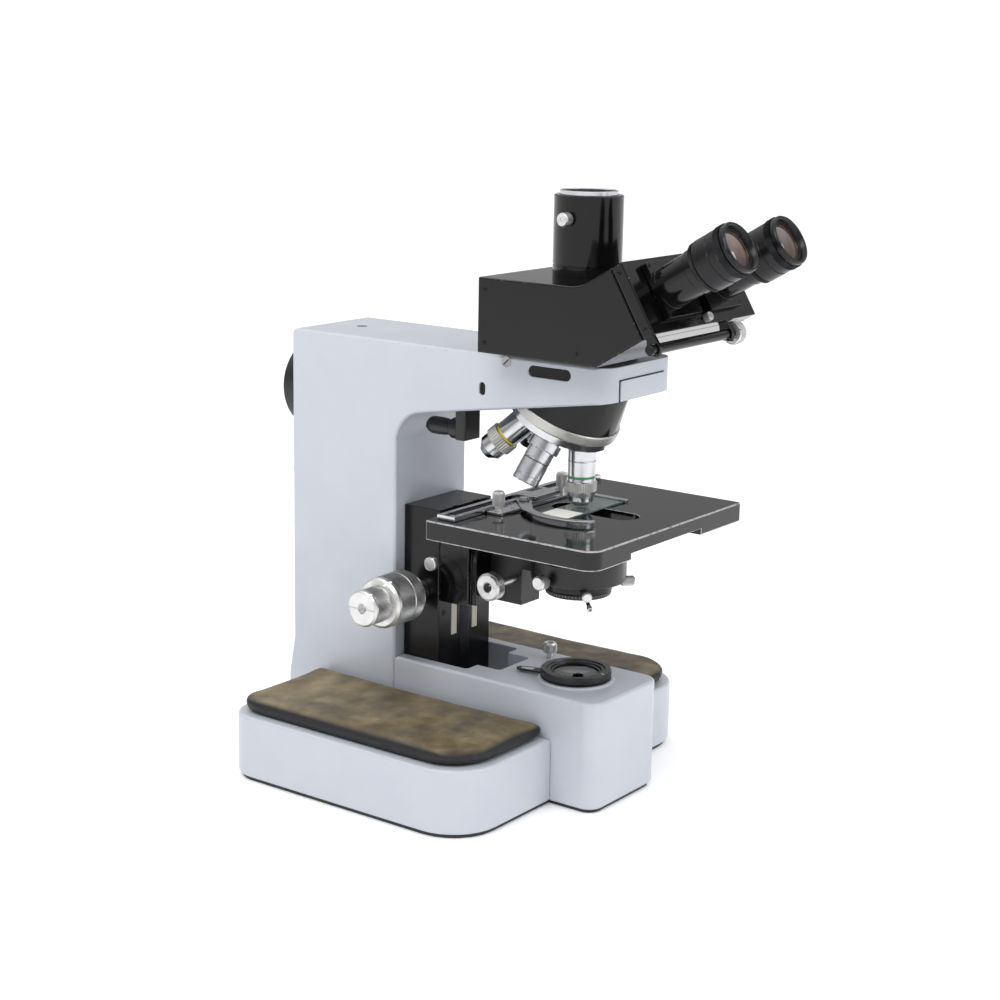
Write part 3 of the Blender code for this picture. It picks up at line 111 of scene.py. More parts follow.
def mottle(tree, size, low, high, detail=3.0, stretch=(1, 1, 1)):
    """Soft blotches of a real size in millimetres, given as a factor from low to high."""
    place = add(tree, "ShaderNodeTexCoord")
    turned_to = add(tree, "ShaderNodeMapping", links={"Vector": place.outputs["Object"], "Scale": stretch})
    noise = add(tree, "ShaderNodeTexNoise", links={"Vector": turned_to, "Scale": per(size),
        "Detail": detail, "Roughness": 0.55})
    spread = add(tree, "ShaderNodeMapRange", links={"Value": noise, "From Min": 0.3, "From Max": 0.7,
        "To Min": low, "To Max": high})
    return spread.outputs[0]


def clouded(tree, shader, size, low, high, detail=3.0):
    """Lets a shader's roughness drift between two values, in blotches of a size in millimetres."""
    tree.links.new(mottle(tree, size, low, high, detail), shader.inputs["Roughness"])


def blend(tree, factor, first, second):
    """Mixes two colours, each an sRGB hex value or another node's socket."""
    first = srgb(first) if isinstance(first, str) else first
    second = srgb(second) if isinstance(second, str) else second
    return add(tree, "ShaderNodeMix", {"data_type": "RGBA"}, {0: factor, 6: first, 7: second}).outputs[2]


def show(name, mesh, *materials):
    """A linked object for a mesh, with its materials."""
    made = bpy.data.objects.new(name, mesh)
    bpy.context.collection.objects.link(made)
    for material in materials:
        mesh.materials.append(material)
    return made


FLOOR_REACH = 40.0
table_paint, tree, shader = surface("matt white laminate", "FDFDFE", 0.6, Emission_Strength=0.12)
shader.inputs["Emission Color"].default_value = srgb("FFFFFF")
clouded(tree, shader, 90, 0.55, 0.66)
table_mesh = bpy.data.meshes.new("table_top")
corners = [(FLOOR_REACH * x, FLOOR_REACH * y, -0.0002) for x, y in ((-1, -1), (1, -1), (1, 1), (-1, 1))]
table_mesh.from_pydata(corners, [], [(0, 1, 2, 3)])
show("table_top", table_mesh, table_paint)

room = bpy.data.worlds.new("white room")
room.use_nodes = True
walls = room.node_tree
up = add(walls, "ShaderNodeSeparateXYZ",
    links={"Vector": add(walls, "ShaderNodeTexCoord").outputs["Generated"]})
level = add(walls, "ShaderNodeMapRange", {"interpolation_type": "SMOOTHSTEP"},
    {"Value": up.outputs["Z"], "From Min": 0.2, "From Max": 0.75, "To Min": 0.34, "To Max": 1.25})
horizon = add(walls, "ShaderNodeMapRange", {"interpolation_type": "SMOOTHSTEP"},
    {"Value": up.outputs["Z"], "From Min": 0.05, "From Max": 0.12, "To Min": 1.08, "To Max": 0.0})
brightness = add(walls, "ShaderNodeMath", {"operation": "MAXIMUM"}, {0: level, 1: horizon})
walls.nodes["Background"].inputs["Color"].default_value = srgb("FEFEFF")
walls.links.new(brightness.outputs[0], walls.nodes["Background"].inputs["Strength"])
bpy.context.scene.world = room
bpy.context.scene.view_settings.view_transform = "Standard"


def softbox(name, at, aim, width, height, power):
    """A wide, soft lamp that faces a point, both given in metres."""
    lamp = bpy.data.lights.new(name, "AREA")
    lamp.shape = "RECTANGLE"
    lamp.size = width
    lamp.size_y = height
    lamp.energy = power
    holder = bpy.data.objects.new(name, lamp)
    bpy.context.collection.objects.link(holder)
    holder.matrix_world = Matrix.Translation(at) @ (
        (Vector(at) - Vector(aim)).to_track_quat("Z", "Y").to_matrix().to_4x4())


softbox("key_lamp", (-1.3, -0.1, 1.9), (0, 0.1, 0.2), 1.4, 1.0, 16)
softbox("front_lamp", (0.6, -1.8, 1.1), (0, 0, 0.2), 1.2, 0.8, 9)

LENS_LENGTH = 71.19
camera = bpy.data.objects.new("camera", bpy.data.cameras.new("camera"))
camera.data.sensor_width = 36.0
camera.data.lens = LENS_LENGTH
camera.data.clip_start = 0.05
bpy.context.collection.objects.link(camera)
eye_right = Vector((0.5942, -0.8041, 0.0177))
eye_up = Vector((0.1722, 0.1487, 0.9738))
eye_back = Vector((-0.7857, -0.5756, 0.2268))
turn = Matrix((eye_right, eye_up, eye_back)).transposed().to_4x4()
camera.matrix_world = Matrix.Translation((-1.19492, -0.80068, 0.55931)) @ turn
bpy.context.scene.camera = camera

# ---- Stand: the grey-blue castings ----
# Column and arm, lamp block and the two wings are aluminium castings, filled, sprayed and stoved in a
# pale blue-grey enamel. The steel sheet below is screwed on from underneath and closes the base.


def coating(name, colour, shade, bare, roughness, skin, relief, rub, coat=0.0, gleam=0.5):
    """Paint or an anodised film: faint clouds, a skin of its own, and bare metal on rubbed edges.

    skin is the size of its texture in millimetres, relief its depth, rub how much edges have lost,
    and gleam the strength of the film's own reflection."""
    material, tree, shader = surface(name, colour, roughness, Coat_Weight=coat, Coat_Roughness=0.08,
        Specular_IOR_Level=gleam)
    film = blend(tree, mottle(tree, 45, 0, 1), colour, shade)
    edge = add(tree, "ShaderNodeAttribute", {"attribute_name": "worn"}).outputs["Fac"]
    patches = mottle(tree, 3.5, rub - 0.8, rub + 0.5, 5)
    rubbed = add(tree, "ShaderNodeMath", {"operation": "MULTIPLY", "use_clamp": True}, {0: edge, 1: patches})
    tree.links.new(blend(tree, rubbed.outputs[0], film, bare), shader.inputs["Base Color"])
    clouded(tree, shader, 30, roughness * 0.85, roughness * 1.2)
    tree.links.new(add(tree, "ShaderNodeBump", links={"Height": mottle(tree, skin, 0, 1, 2),
        "Strength": 0.35, "Distance": relief * MM}).outputs[0], shader.inputs["Normal"])
    return material


def settled(piece):
    """The piece with its modifiers worked into a plain mesh."""
    plain = bpy.data.meshes.new_from_object(piece.evaluated_get(bpy.context.evaluated_depsgraph_get()))
    piece.modifiers.clear()
    piece.data = plain
    return piece


def shaped(name, builder, material, ease=0.0, angle=30, even=True):
    """Turns a bmesh into a piece, its hard edges broken by ease millimetres and marked as worn."""
    worn = builder.loops.layers.float.new("worn")
    hard = [edge for edge in builder.edges if len(edge.link_faces) == 2
            and edge.calc_face_angle(0) > math.radians(angle)]
    if ease > 0 and hard:
        broken = bmesh.ops.bevel(builder, geom=hard, offset=ease * MM, segments=2, profile=0.5,
            affect="EDGES", clamp_overlap=False)
        for face in broken["faces"]:
            for corner in face.loops:
                corner[worn] = 1.0
    mesh = bpy.data.meshes.new(name)
    builder.to_mesh(mesh)
    builder.free()
    mesh.shade_smooth()
    mesh.set_sharp_from_angle(angle=math.radians(angle + 8))
    piece = show(name, mesh, material)
    if even:
        level = piece.modifiers.new("even shading", "WEIGHTED_NORMAL")
        level.keep_sharp = True
        level.weight = 100
        settled(piece)
    return piece


def refined(node, material, ease=0.5, angle=30):
    """The CAD solid with its triangles joined and hard edges broken, shown in the node's place."""
    builder = bmesh.new()
    builder.from_mesh(frame["nodes"][node].data)
    bmesh.ops.remove_doubles(builder, verts=builder.verts, dist=2e-6)
    bmesh.ops.dissolve_limit(builder, angle_limit=math.radians(0.8), verts=builder.verts, edges=builder.edges)
    piece = shaped(node + "_casting", builder, material, ease, angle)
    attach(piece, frame["nodes"][node]["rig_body"])
    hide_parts(node)
    return piece


# Pale stove enamel: a smooth, half-gloss film with a slight orange peel, clouded a little by handling.
enamel = coating("pale blue-grey stove enamel on cast aluminium", "C0C4CB", "BABFC8", "8E9299", 0.36, 1.6,
    0.05, -0.15, coat=0.2)
steel_sheet = coating("blackened steel sheet", "2A2B2D", "1E1F21", "77797C", 0.5, 0.8, 0.02, 0.2)
for node in ("stand_frame", "lamp_block", "wing_left", "wing_right"):
    refined(node, enamel, 0.7)
refined("base_plate", steel_sheet, 0.3)

# ---- Arm pads ----
# A firm foam pad lies on each wing, covered in black leathercloth that is rolled down over its edges.
# Forearms have rubbed the top of the left one through its grain to a patchy brown; it is glued down.


def leathercloth(name, crown, rub):
    """Leathercloth: fine pebble grain, black at the edges and worn to brown and grey on top."""
    material, tree, shader = surface(name, "17171A", 0.5, Specular_IOR_Level=0.4)
    where = add(tree, "ShaderNodeSeparateXYZ",
        links={"Vector": add(tree, "ShaderNodeTexCoord").outputs["Object"]})
    height = add(tree, "ShaderNodeMapRange", links={"Value": where.outputs["Z"],
        "From Min": (crown - 3.4) * MM, "From Max": (crown - 1.2) * MM})
    brown = blend(tree, mottle(tree, 70, 0, 1, 4), "655538", "786C50")
    patch = blend(tree, mottle(tree, 26, -0.3, 0.9, 6), brown, "958768")
    top = blend(tree, mottle(tree, 48, -0.5, 0.8, 5), patch, "3A3937")
    ragged = add(tree, "ShaderNodeMath", {"operation": "MULTIPLY", "use_clamp": True},
        {0: height, 1: mottle(tree, 18, rub - 0.25, rub + 0.25, 6)})
    tree.links.new(blend(tree, ragged.outputs[0], "1B1B1D", top), shader.inputs["Base Color"])
    clouded(tree, shader, 14, 0.38, 0.62, 4)
    pebbles = add(tree, "ShaderNodeTexVoronoi",
        links={"Vector": add(tree, "ShaderNodeTexCoord").outputs["Object"], "Scale": per(1.1)})
    grain = add(tree, "ShaderNodeBump", links={"Height": pebbles.outputs["Distance"], "Strength": 0.25,
        "Distance": 0.12 * MM})
    creases = add(tree, "ShaderNodeBump", links={"Height": mottle(tree, 9, 0, 1, 5), "Strength": 0.3,
        "Distance": 0.5 * MM, "Normal": grain})
    tree.links.new(creases.outputs[0], shader.inputs["Normal"])
    return material


PAD_VOXEL = 3.0                # remesh grid
PAD_SHRINK = 0.5               # the swelling starts from a form this much smaller
PAD_SWELL = 1.3                # the furthest that a point may swell


def stuffed(node, material):
    """A pad swollen from its CAD form by cloth pressure, resting flat on its wing."""
    low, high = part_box(node)
    builder = bmesh.new()
    builder.from_mesh(frame["nodes"][node].data)
    bmesh.ops.remove_doubles(builder, verts=builder.verts, dist=2e-6)
    bmesh.ops.recalc_face_normals(builder, faces=builder.faces)
    centre = (low + high) / 2
    half = (high - low) / 2
    for point in builder.verts:
        for axis in range(3):
            shrink = 1 - PAD_SHRINK * MM / half[axis]
            point.co[axis] = centre[axis] + (point.co[axis] - centre[axis]) * shrink
    mesh = bpy.data.meshes.new(node + "_leather")
    builder.to_mesh(mesh)
    builder.free()
    pad = show(node + "_leather", mesh, material)
    grid = pad.modifiers.new("even grid", "REMESH")
    grid.mode = "VOXEL"
    grid.voxel_size = PAD_VOXEL * MM
    settled(pad)
    start = [point.co.copy() for point in pad.data.vertices]
    held = pad.vertex_groups.new(name="glued")
    held.add([point.index for point in pad.data.vertices if point.co.z < low.z + 1.6 * MM], 1.0,
        "REPLACE")
    cloth = pad.modifiers.new("swelling", "CLOTH")
    cloth.settings.use_pressure = True
    cloth.settings.uniform_pressure_force = 4
    cloth.settings.effector_weights.gravity = 0
    cloth.settings.vertex_group_mass = "glued"
    cloth.settings.quality = 5
    cloth.point_cache.frame_start = 1
    cloth.point_cache.frame_end = 20
    for step in range(1, 21):
        bpy.context.scene.frame_set(step)
    settled(pad)
    pad.vertex_groups.clear()
    for point, before in zip(pad.data.vertices, start):
        move = point.co - before
        if move.length > PAD_SWELL * MM:
            point.co = before + move.normalized() * PAD_SWELL * MM
        point.co.z = min(max(point.co.z, low.z), high.z)
    bpy.context.scene.frame_set(1)
    smooth = pad.modifiers.new("smooth skin", "SMOOTH")
    smooth.iterations = 6
    finer = pad.modifiers.new("finer skin", "SUBSURF")
    finer.levels = 1
    finer.render_levels = 1
    settled(pad)
    pad.data.shade_smooth()
    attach(pad, "stand")
    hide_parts(node)


pad_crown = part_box("pad_left")[1].z / MM
stuffed("pad_left", leathercloth("rubbed black leathercloth", pad_crown, 0.85))
stuffed("pad_right", leathercloth("black leathercloth", pad_crown, 0.5))

# ---- Arm: screws, slots, front plate and lamp port ----
# Slotted steel screws hold the head dovetail and the nosepiece. Two slots in the left cheek are filled with
# black a little below the surface, painted shade for the depth of the long slot and of the oval adjuster
# hole.
# The front plate is a blank enamelled badge; the black sheet behind it, wider at its left and top, is a
# painted shadow line.


def placed(at, direction=(0, 0, 1), spin=0.0):
    """The matrix that puts a form drawn along Z at a point in millimetres, facing a direction."""
    return (Matrix.Translation(Vector(at) * MM)
            @ Vector(direction).to_track_quat("Z", "Y").to_matrix().to_4x4()
            @ Matrix.Rotation(math.radians(spin), 4, "Z"))


UPRIGHT = placed((0, 0, 0))


def measured(node):
    """The low and high corners of a node's box, in millimetres."""
    return [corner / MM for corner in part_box(node)]


def recipe(name, **sizes):
    """A new tree of geometry nodes whose inputs are the sizes it works from."""
    tree = bpy.data.node_groups.new(name, "GeometryNodeTree")
    tree.interface.new_socket("Geometry", in_out="INPUT", socket_type="NodeSocketGeometry")
    tree.interface.new_socket("Geometry", in_out="OUTPUT", socket_type="NodeSocketGeometry")
    tree.interface.new_socket("Material", in_out="INPUT", socket_type="NodeSocketMaterial")
    for size, kind in sizes.items():
        tree.interface.new_socket(size, in_out="INPUT", socket_type="NodeSocket" + kind)
    return tree, add(tree, "NodeGroupInput").outputs


def served(tree, given, geometry):
    """Ends a recipe: copies made real, material set, result out."""
    real = add(tree, "GeometryNodeRealizeInstances", links={"Geometry": geometry})
    dressed = add(tree, "GeometryNodeSetMaterial", links={"Geometry": real, "Material": given["Material"]})
    add(tree, "NodeGroupOutput", links={"Geometry": dressed})
    return tree


def grown(name, tree, body, matrix, points=None, axes=None, **values):
    """The plain mesh that a recipe gives for these sizes, put in place and riding on a body."""
    mesh = bpy.data.meshes.new(name)
    if points:
        mesh.from_pydata([Vector(point) * MM for point in points], [], [])
        facing = mesh.attributes.new("facing", "FLOAT_VECTOR", "POINT")
        for index, axis in enumerate(axes):
            facing.data[index].vector = axis
    piece = show(name, mesh)
    step = piece.modifiers.new(tree.name, "NODES")
    step.node_group = tree
    for item in tree.interface.items_tree:
        if item.item_type == "SOCKET" and item.in_out == "INPUT" and item.name in values:
            step[item.identifier] = values[item.name]
    settled(piece)
    piece.data.transform(matrix)
    piece.data.set_sharp_from_angle(angle=math.radians(35))
    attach(piece, body)
    return piece


screw_tree, given = recipe("Slotted screws", Radius="Float", Height="Float", Slot="Float")
head = add(screw_tree, "GeometryNodeMeshCylinder", links={"Vertices": 32, "Radius": given["Radius"],
    "Depth": given["Height"]})
slot_size = add(screw_tree, "ShaderNodeCombineXYZ", links={"X": 1.0, "Y": given["Slot"],
    "Z": given["Height"]})
slot_bar = add(screw_tree, "GeometryNodeMeshCube", links={"Size": slot_size})
half_height = add(screw_tree, "ShaderNodeMath", {"operation": "MULTIPLY"}, {0: given["Height"], 1: 0.5})
slot_lift = add(screw_tree, "ShaderNodeCombineXYZ", links={"Z": half_height})
slot_cut = add(screw_tree, "GeometryNodeTransform", links={"Geometry": slot_bar, "Translation": slot_lift})
slotted = add(screw_tree, "GeometryNodeMeshBoolean", {"operation": "DIFFERENCE", "solver": "EXACT"},
    {0: head, 1: slot_cut})
way_out = add(screw_tree, "GeometryNodeInputNamedAttribute", {"data_type": "FLOAT_VECTOR"},
    {"Name": "facing"})
turn_out = add(screw_tree, "FunctionNodeAlignRotationToVector", {"axis": "Z"}, {"Vector": way_out})
spin = add(screw_tree, "FunctionNodeRandomValue", {"data_type": "FLOAT"}, {2: 0.0, 3: math.pi, "Seed": 7})
spin_axis = add(screw_tree, "ShaderNodeCombineXYZ", links={"Z": spin.outputs[1]})
spun = add(screw_tree, "FunctionNodeRotateRotation", {"rotation_space": "LOCAL"},
    {"Rotation": turn_out,
    "Rotate By": add(screw_tree, "FunctionNodeEulerToRotation", links={"Euler": spin_axis})})
seated = add(screw_tree, "GeometryNodeInstanceOnPoints", links={"Points": given["Geometry"],
    "Instance": slotted, "Rotation": spun})
served(screw_tree, given, seated.outputs[0])


def screws(name, body, radius, points, axes, material, height=0.8):
    """Slotted screw heads standing proud of their seats by half their height."""
    return grown(name, screw_tree, body, Matrix(), points, axes, Material=material, Radius=radius * MM,
        Height=height * MM, Slot=max(radius * 0.22, 0.5) * MM)


def metal(name, colour, shade, roughness, skin, relief, stretch=(1, 1, 1)):
    """Bare or plated metal: its tone drifts a little, and tool marks run the way they are stretched."""
    material, tree, shader = surface(name, colour, roughness, Metallic=1.0)
    tree.links.new(blend(tree, mottle(tree, 12, 0, 1), colour, shade), shader.inputs["Base Color"])
    clouded(tree, shader, 8, roughness * 0.8, roughness * 1.25)
    tree.links.new(add(tree, "ShaderNodeBump", links={"Height": mottle(tree, skin, 0, 1, 2, stretch),
        "Strength": 0.3, "Distance": relief * MM}).outputs[0], shader.inputs["Normal"])
    return material


def outline_solid(name, outline, low, high, axis, material, body, ease=0.3, matrix=None):
    """An outline in millimetres pulled from low to high along an axis, as a piece on a body."""
    order = {"X": lambda u, v, w: (w, u, v), "Y": lambda u, v, w: (u, w, v), "Z": lambda u, v, w: (u, v, w)}
    builder = bmesh.new()
    rings = [[builder.verts.new(Vector(order[axis](u, v, level)) * MM) for u, v in outline]
             for level in (low, high)]
    for index in range(len(outline)):
        after = (index + 1) % len(outline)
        builder.faces.new((rings[0][index], rings[0][after], rings[1][after], rings[1][index]))
    builder.faces.new(rings[0])
    builder.faces.new(rings[1])
    bmesh.ops.recalc_face_normals(builder, faces=builder.faces)
    if matrix is not None:
        builder.transform(matrix)
    piece = shaped(name, builder, material, ease)
    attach(piece, body)
    return piece


def stadium(centre_u, centre_v, long, high, steps=10):
    """The outline of a slot with round ends, its longer side along U or V."""
    radius = min(long, high) / 2
    reach = abs(long - high) / 2
    points = []
    for end, start in ((1, -90), (-1, 90)):
        for step in range(steps + 1):
            angle = math.radians(start + 180 * step / steps)
            u = end * reach + radius * math.cos(angle)
            v = radius * math.sin(angle)
            points.append((centre_u + u, centre_v + v) if long > high else (centre_u - v, centre_v + u))
    return points


def block(name, low, high, material, body, ease=0.3):
    """A rectangular piece between two corners in millimetres."""
    outline = [(low[0], low[1]), (high[0], low[1]), (high[0], high[1]), (low[0], high[1])]
    return outline_solid(name, outline, low[2], high[2], "Z", material, body, ease)


# Bright zinc on steel for screws, black anodising for the slot fillers and small parts, and plain black
# for the painted shadow line behind the badge.
screw_steel = metal("zinc-plated steel screws", "A9AAA9", "8E8F8F", 0.32, 0.5, 0.02, (1, 8, 1))
dark_steel = metal("oiled dark steel screws", "3A3B3D", "27282A", 0.38, 0.5, 0.02, (1, 8, 1))
slide_black = coating("black anodised aluminium", "0F0F11", "151517", "8C8D8F", 0.38, 0.7, 0.02, -0.1,
    gleam=0.25)
shadow_line_black = coating("painted shadow line, black", "0C0C0D", "121213", "0C0C0D", 0.7, 0.9, 0.05, -1)

CHEEK = -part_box("stand_frame")[0].x / MM      # half width of the arm
ARM_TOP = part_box("stand_frame")[1].z / MM
ARM_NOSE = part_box("stand_frame")[0].y / MM
screws("dovetail_screws", "stand", 4.0, [(-CHEEK, 38.4, 331.0), (CHEEK, 38.4, 331.0)],
    [(-1, 0, 0), (1, 0, 0)], screw_steel)
screws("arm_cover_screws", "stand", 4.2, [(0, 214, ARM_TOP - 0.1), (0, 88, ARM_TOP - 0.1)],
    [(0, 0, 1), (0, 0, 1)], screw_steel, 0.5)
# Black fills set just inside the long slot and the oval hole in the left cheek: painted shade for their
# depth.
outline_solid("long_slot_shade_fill", stadium(0.5, 326.8, 37.0, 7.8), -CHEEK + 1.2, -CHEEK + 21, "X", slide_black,
    "stand", 0.5)
outline_solid("oval_hole_shade_fill", stadium(60.5, 308.5, 5.5, 9.5), -CHEEK + 1.6, -CHEEK + 5.5, "X", slide_black,
    "stand", 0.4)
plate_low, plate_high = measured("arm_plate")
# The black sheet behind the badge, reaching further at its left and top, is a painted shadow line.
outline_solid("badge_shadow_line", [(plate_low.x - 0.7, plate_low.z - 0.3),
    (plate_high.x + 0.3, plate_low.z - 0.3), (plate_high.x + 0.3, plate_high.z + 0.7),
    (plate_low.x - 0.7, plate_high.z + 0.7)], ARM_NOSE - 0.25, ARM_NOSE + 0.02, "Y", shadow_line_black, "stand", 0)
badge = coating("pale blue-grey enamelled badge", "C0C4CB", "B9BEC7", "8E9299", 0.3, 1.2, 0.02, 0.1, 0.3)
refined("arm_plate", badge, 0.2)


def turned(name, profile, material, body, matrix, ease=0.25, sides=72, stands_for=None):
    """A piece turned about Z from (radius, height) points in millimetres, its hard edges broken."""
    builder = bmesh.new()
    rings = []
    for radius, height in profile:
        if radius <= 0:
            rings.append([builder.verts.new((0, 0, height * MM))])
            continue
        rings.append([builder.verts.new((
            radius * MM * math.cos(2 * math.pi * side / sides),
            radius * MM * math.sin(2 * math.pi * side / sides), height * MM)) for side in range(sides)])
    for index, lower in enumerate(rings):
        upper = rings[(index + 1) % len(rings)]
        if len(lower) == 1 and len(upper) == 1:
            continue
        for side in range(sides):
            after = (side + 1) % sides
            builder.faces.new(dict.fromkeys((
                lower[side % len(lower)], lower[after % len(lower)],
                upper[after % len(upper)], upper[side % len(upper)])))
    bmesh.ops.recalc_face_normals(builder, faces=builder.faces)
    builder.transform(matrix)
    piece = shaped(name, builder, material, ease, 25)
    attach(piece, body)
    if stands_for:
        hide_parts(*stands_for)
    return piece


# Satin black anodising: even and deep, going grey where it is handled.
satin_black = coating("satin black anodised aluminium", "111113", "18181A", "77787A", 0.34, 0.6, 0.02, 0.15)
port_low, port_high = measured("lamp_port")
port_rear = placed((0, port_low.y, (port_low.z + port_high.z) / 2), (0, 1, 0))
turned("lamp_port_socket", [(23.5, 0), (35, 0), (35, 5.5), (34.2, 6), (34.2, 7), (35, 7.5), (35, 17.5),
    (33.5, 19), (26, 19), (24.6, 17.6), (24.6, 14), (23.5, 13)], satin_black, "stand", port_rear, 0.12, 96,
    ["lamp_port"])

# ---- Focus block ----
# A black gearbox with two upright ways is bolted to the column. A steel rack runs down between pale
# acetal slide strips; a short bright screw on its left cheek sets the lift's lower stop.

focus_black = coating("black stove enamel on cast iron", "08080A", "0C0C0E", "6E6F72", 0.24, 1.1, 0.03,
    -0.1, 0.1, 0.25)
strip_plastic = coating("cream acetal slide strip", "DDD8C6", "CFC9B5", "DDD8C6", 0.4, 1.5, 0.02, -1)
bright_steel = metal("ground steel", "B4B6B8", "9C9EA1", 0.24, 0.4, 0.015, (1, 1, 12))
refined("slide_housing", focus_black, 0.5)
house_low, house_high = measured("slide_housing")
WAY_IN = 9.9
WAY_OUT = 16.6
for side, sign in (("left", -1), ("right", 1)):
    across = sorted((sign * WAY_IN, sign * WAY_OUT))
    block("slide_strip_" + side, (across[0], house_low.y + 0.1, house_low.z + 60),
        (across[1], house_low.y + 1.3, house_high.z - 6), strip_plastic, "stand", 0.15)
block("rack_bed", (-6.2, house_low.y - 0.1, house_low.z + 30), (6.2, house_low.y + 0.6, house_high.z - 4),
    dark_steel, "stand", 0.1)

row_tree, given = recipe("Row of bars", Count="Int", Step="Vector", Bar="Vector")
row_line = add(row_tree, "GeometryNodeMeshLine", {"mode": "OFFSET"},
    {"Count": given["Count"], "Offset": given["Step"]})
row_bar = add(row_tree, "GeometryNodeMeshCube", links={"Size": given["Bar"]})
row_set = add(row_tree, "GeometryNodeInstanceOnPoints", links={"Points": row_line, "Instance": row_bar})
served(row_tree, given, row_set.outputs[0])

RACK_PITCH = 1.9
grown("rack_teeth", row_tree, "stand", placed((0, house_low.y - 0.15, house_low.z + 32)), Material=dark_steel,
      Count=int(140 / RACK_PITCH), Step=Vector((0, 0, RACK_PITCH)) * MM, Bar=Vector((10, 0.5, 1.0)) * MM)
housing_screws = [(sign * 26.5, house_low.y + 0.02, z) for sign in (-1, 1) for z in (34, 78, 124)]
screws("housing_screws", "stand", 2.6, housing_screws, [(0, -1, 0)] * len(housing_screws), dark_steel, 0.5)

knurl_tree, given = recipe("Knurled band", Teeth="Int", Radius="Float", Depth="Float", Length="Float")
root = add(knurl_tree, "ShaderNodeMath", {"operation": "SUBTRACT"}, {0: given["Radius"], 1: given["Depth"]})
star = add(knurl_tree, "GeometryNodeCurveStar", links={"Points": given["Teeth"], "Inner Radius": root,
    "Outer Radius": given["Radius"]})
star_face = add(knurl_tree, "GeometryNodeFillCurve", {"mode": "NGONS"}, {"Curve": star})
star_far = add(knurl_tree, "GeometryNodeExtrudeMesh", {"mode": "FACES"},
    {"Mesh": star_face, "Offset Scale": given["Length"], "Individual": False})
star_near = add(knurl_tree, "GeometryNodeFlipFaces", links={"Mesh": star_face})
star_whole = add(knurl_tree, "GeometryNodeJoinGeometry", links={"Geometry": [star_far, star_near]})
star_closed = add(knurl_tree, "GeometryNodeMergeByDistance", links={"Geometry": star_whole,
    "Distance": 1e-6})
served(knurl_tree, given, star_closed.outputs[0])


def knurled(name, body, matrix, start, length, radius, material, pitch=1.3, depth=0.3):
    """A straight-knurled band that begins at a height above its own frame's origin."""
    return grown(name, knurl_tree, body, matrix @ Matrix.Translation((0, 0, start * MM)), Material=material,
        Teeth=int(2 * math.pi * radius / pitch), Radius=radius * MM, Depth=depth * MM, Length=length * MM)


# Turned aluminium, clear anodised: near white, with fine lathe rings that only dull its shine.
turned_aluminium = metal("turned aluminium, clear anodised", "E2E2E0", "D4D4D2", 0.42, 0.7, 0.015)
knurl_aluminium = metal("knurled aluminium, clear anodised", "CDCDCB", "B4B5B4", 0.42, 0.6, 0.02)
cheek_stop = placed((house_low.x, 113.2, 164.4), (-1, 0, 0))
turned("lift_stop_screw", [(0, 0.2), (5.4, 0.2), (5.4, 4.2), (4.9, 4.6), (0, 4.6)], turned_aluminium,
    "stand", cheek_stop, 0.2, 48)

# ---- Coarse and fine focus ----
# Each side has a large coarse knob on a hollow shaft and a smaller fine knob on the spindle through
# it. All four are turned from aluminium, knurled on the rim and clear anodised; a screw holds each.

SHAFT = Vector((0, 125.0, 141.0))
COARSE_RADIUS = 20.0
for side, sign in (("left", -1), ("right", 1)):
    frame_at = placed(SHAFT, (sign, 0, 0))
    turned("coarse_wheel_" + side, [(4.4, 48.3), (16.5, 48.3), (16.5, 52.6), (19.2, 52.6), (19.2, 53.5),
        (19.2, 62.4), (18.9, 63.0), (18.9, 63.6), (19.2, 64.2), (19.2, 80.0), (19.6, 80.4), (19.6, 83.0),
        (18.0, 84.9), (4.4, 84.9)], turned_aluminium, "coarse_drive", frame_at, 0.3, 96,
        ["coarse_knob_" + side])
    knurled("coarse_grip_inner_" + side, "coarse_drive", frame_at, 53.4, 9.0, COARSE_RADIUS - 0.05,
        knurl_aluminium)
    knurled("coarse_grip_outer_" + side, "coarse_drive", frame_at, 64.2, 15.8, COARSE_RADIUS - 0.05,
        knurl_aluminium)
    turned("fine_wheel_" + side, [(0, 85.25), (13.2, 85.25), (13.2, 86.4), (13.4, 86.8), (13.4, 100.6),
        (14.0, 101.0), (14.0, 103.2), (12.9, 104.3), (3.9, 104.3), (3.7, 103.9), (0, 103.9)],
        turned_aluminium, "fine_drive", frame_at, 0.25, 72)
    knurled("fine_grip_" + side, "fine_drive", frame_at, 87.0, 13.6, 13.95, knurl_aluminium, 1.2)
    screws("fine_screw_" + side, "fine_drive", 3.3, [SHAFT + Vector((sign * 104.0, 0, 0))], [(sign, 0, 0)],
        screw_steel, 1.0)
turned("fine_spindle", [(0, -85.3), (4.0, -85.3), (4.0, 85.3), (0, 85.3)], bright_steel, "fine_drive",
    placed(SHAFT, (1, 0, 0)), 0.1, 32, ["fine_knob_left", "fine_knob_right"])
turned("coarse_axle", [(4.3, -48), (9, -48), (9, 48), (4.3, 48)], bright_steel, "coarse_drive",
    placed(SHAFT, (1, 0, 0)), 0.1, 48, ["coarse_shaft"])

# ---- Field lens, iris lever and clamp ----
# Light leaves the base through a lens in a black ring. A leaf-shaped lever under the ring works the
# field iris, and a small knurled screw beside it clamps the lens mount. The mirror below is unseen.

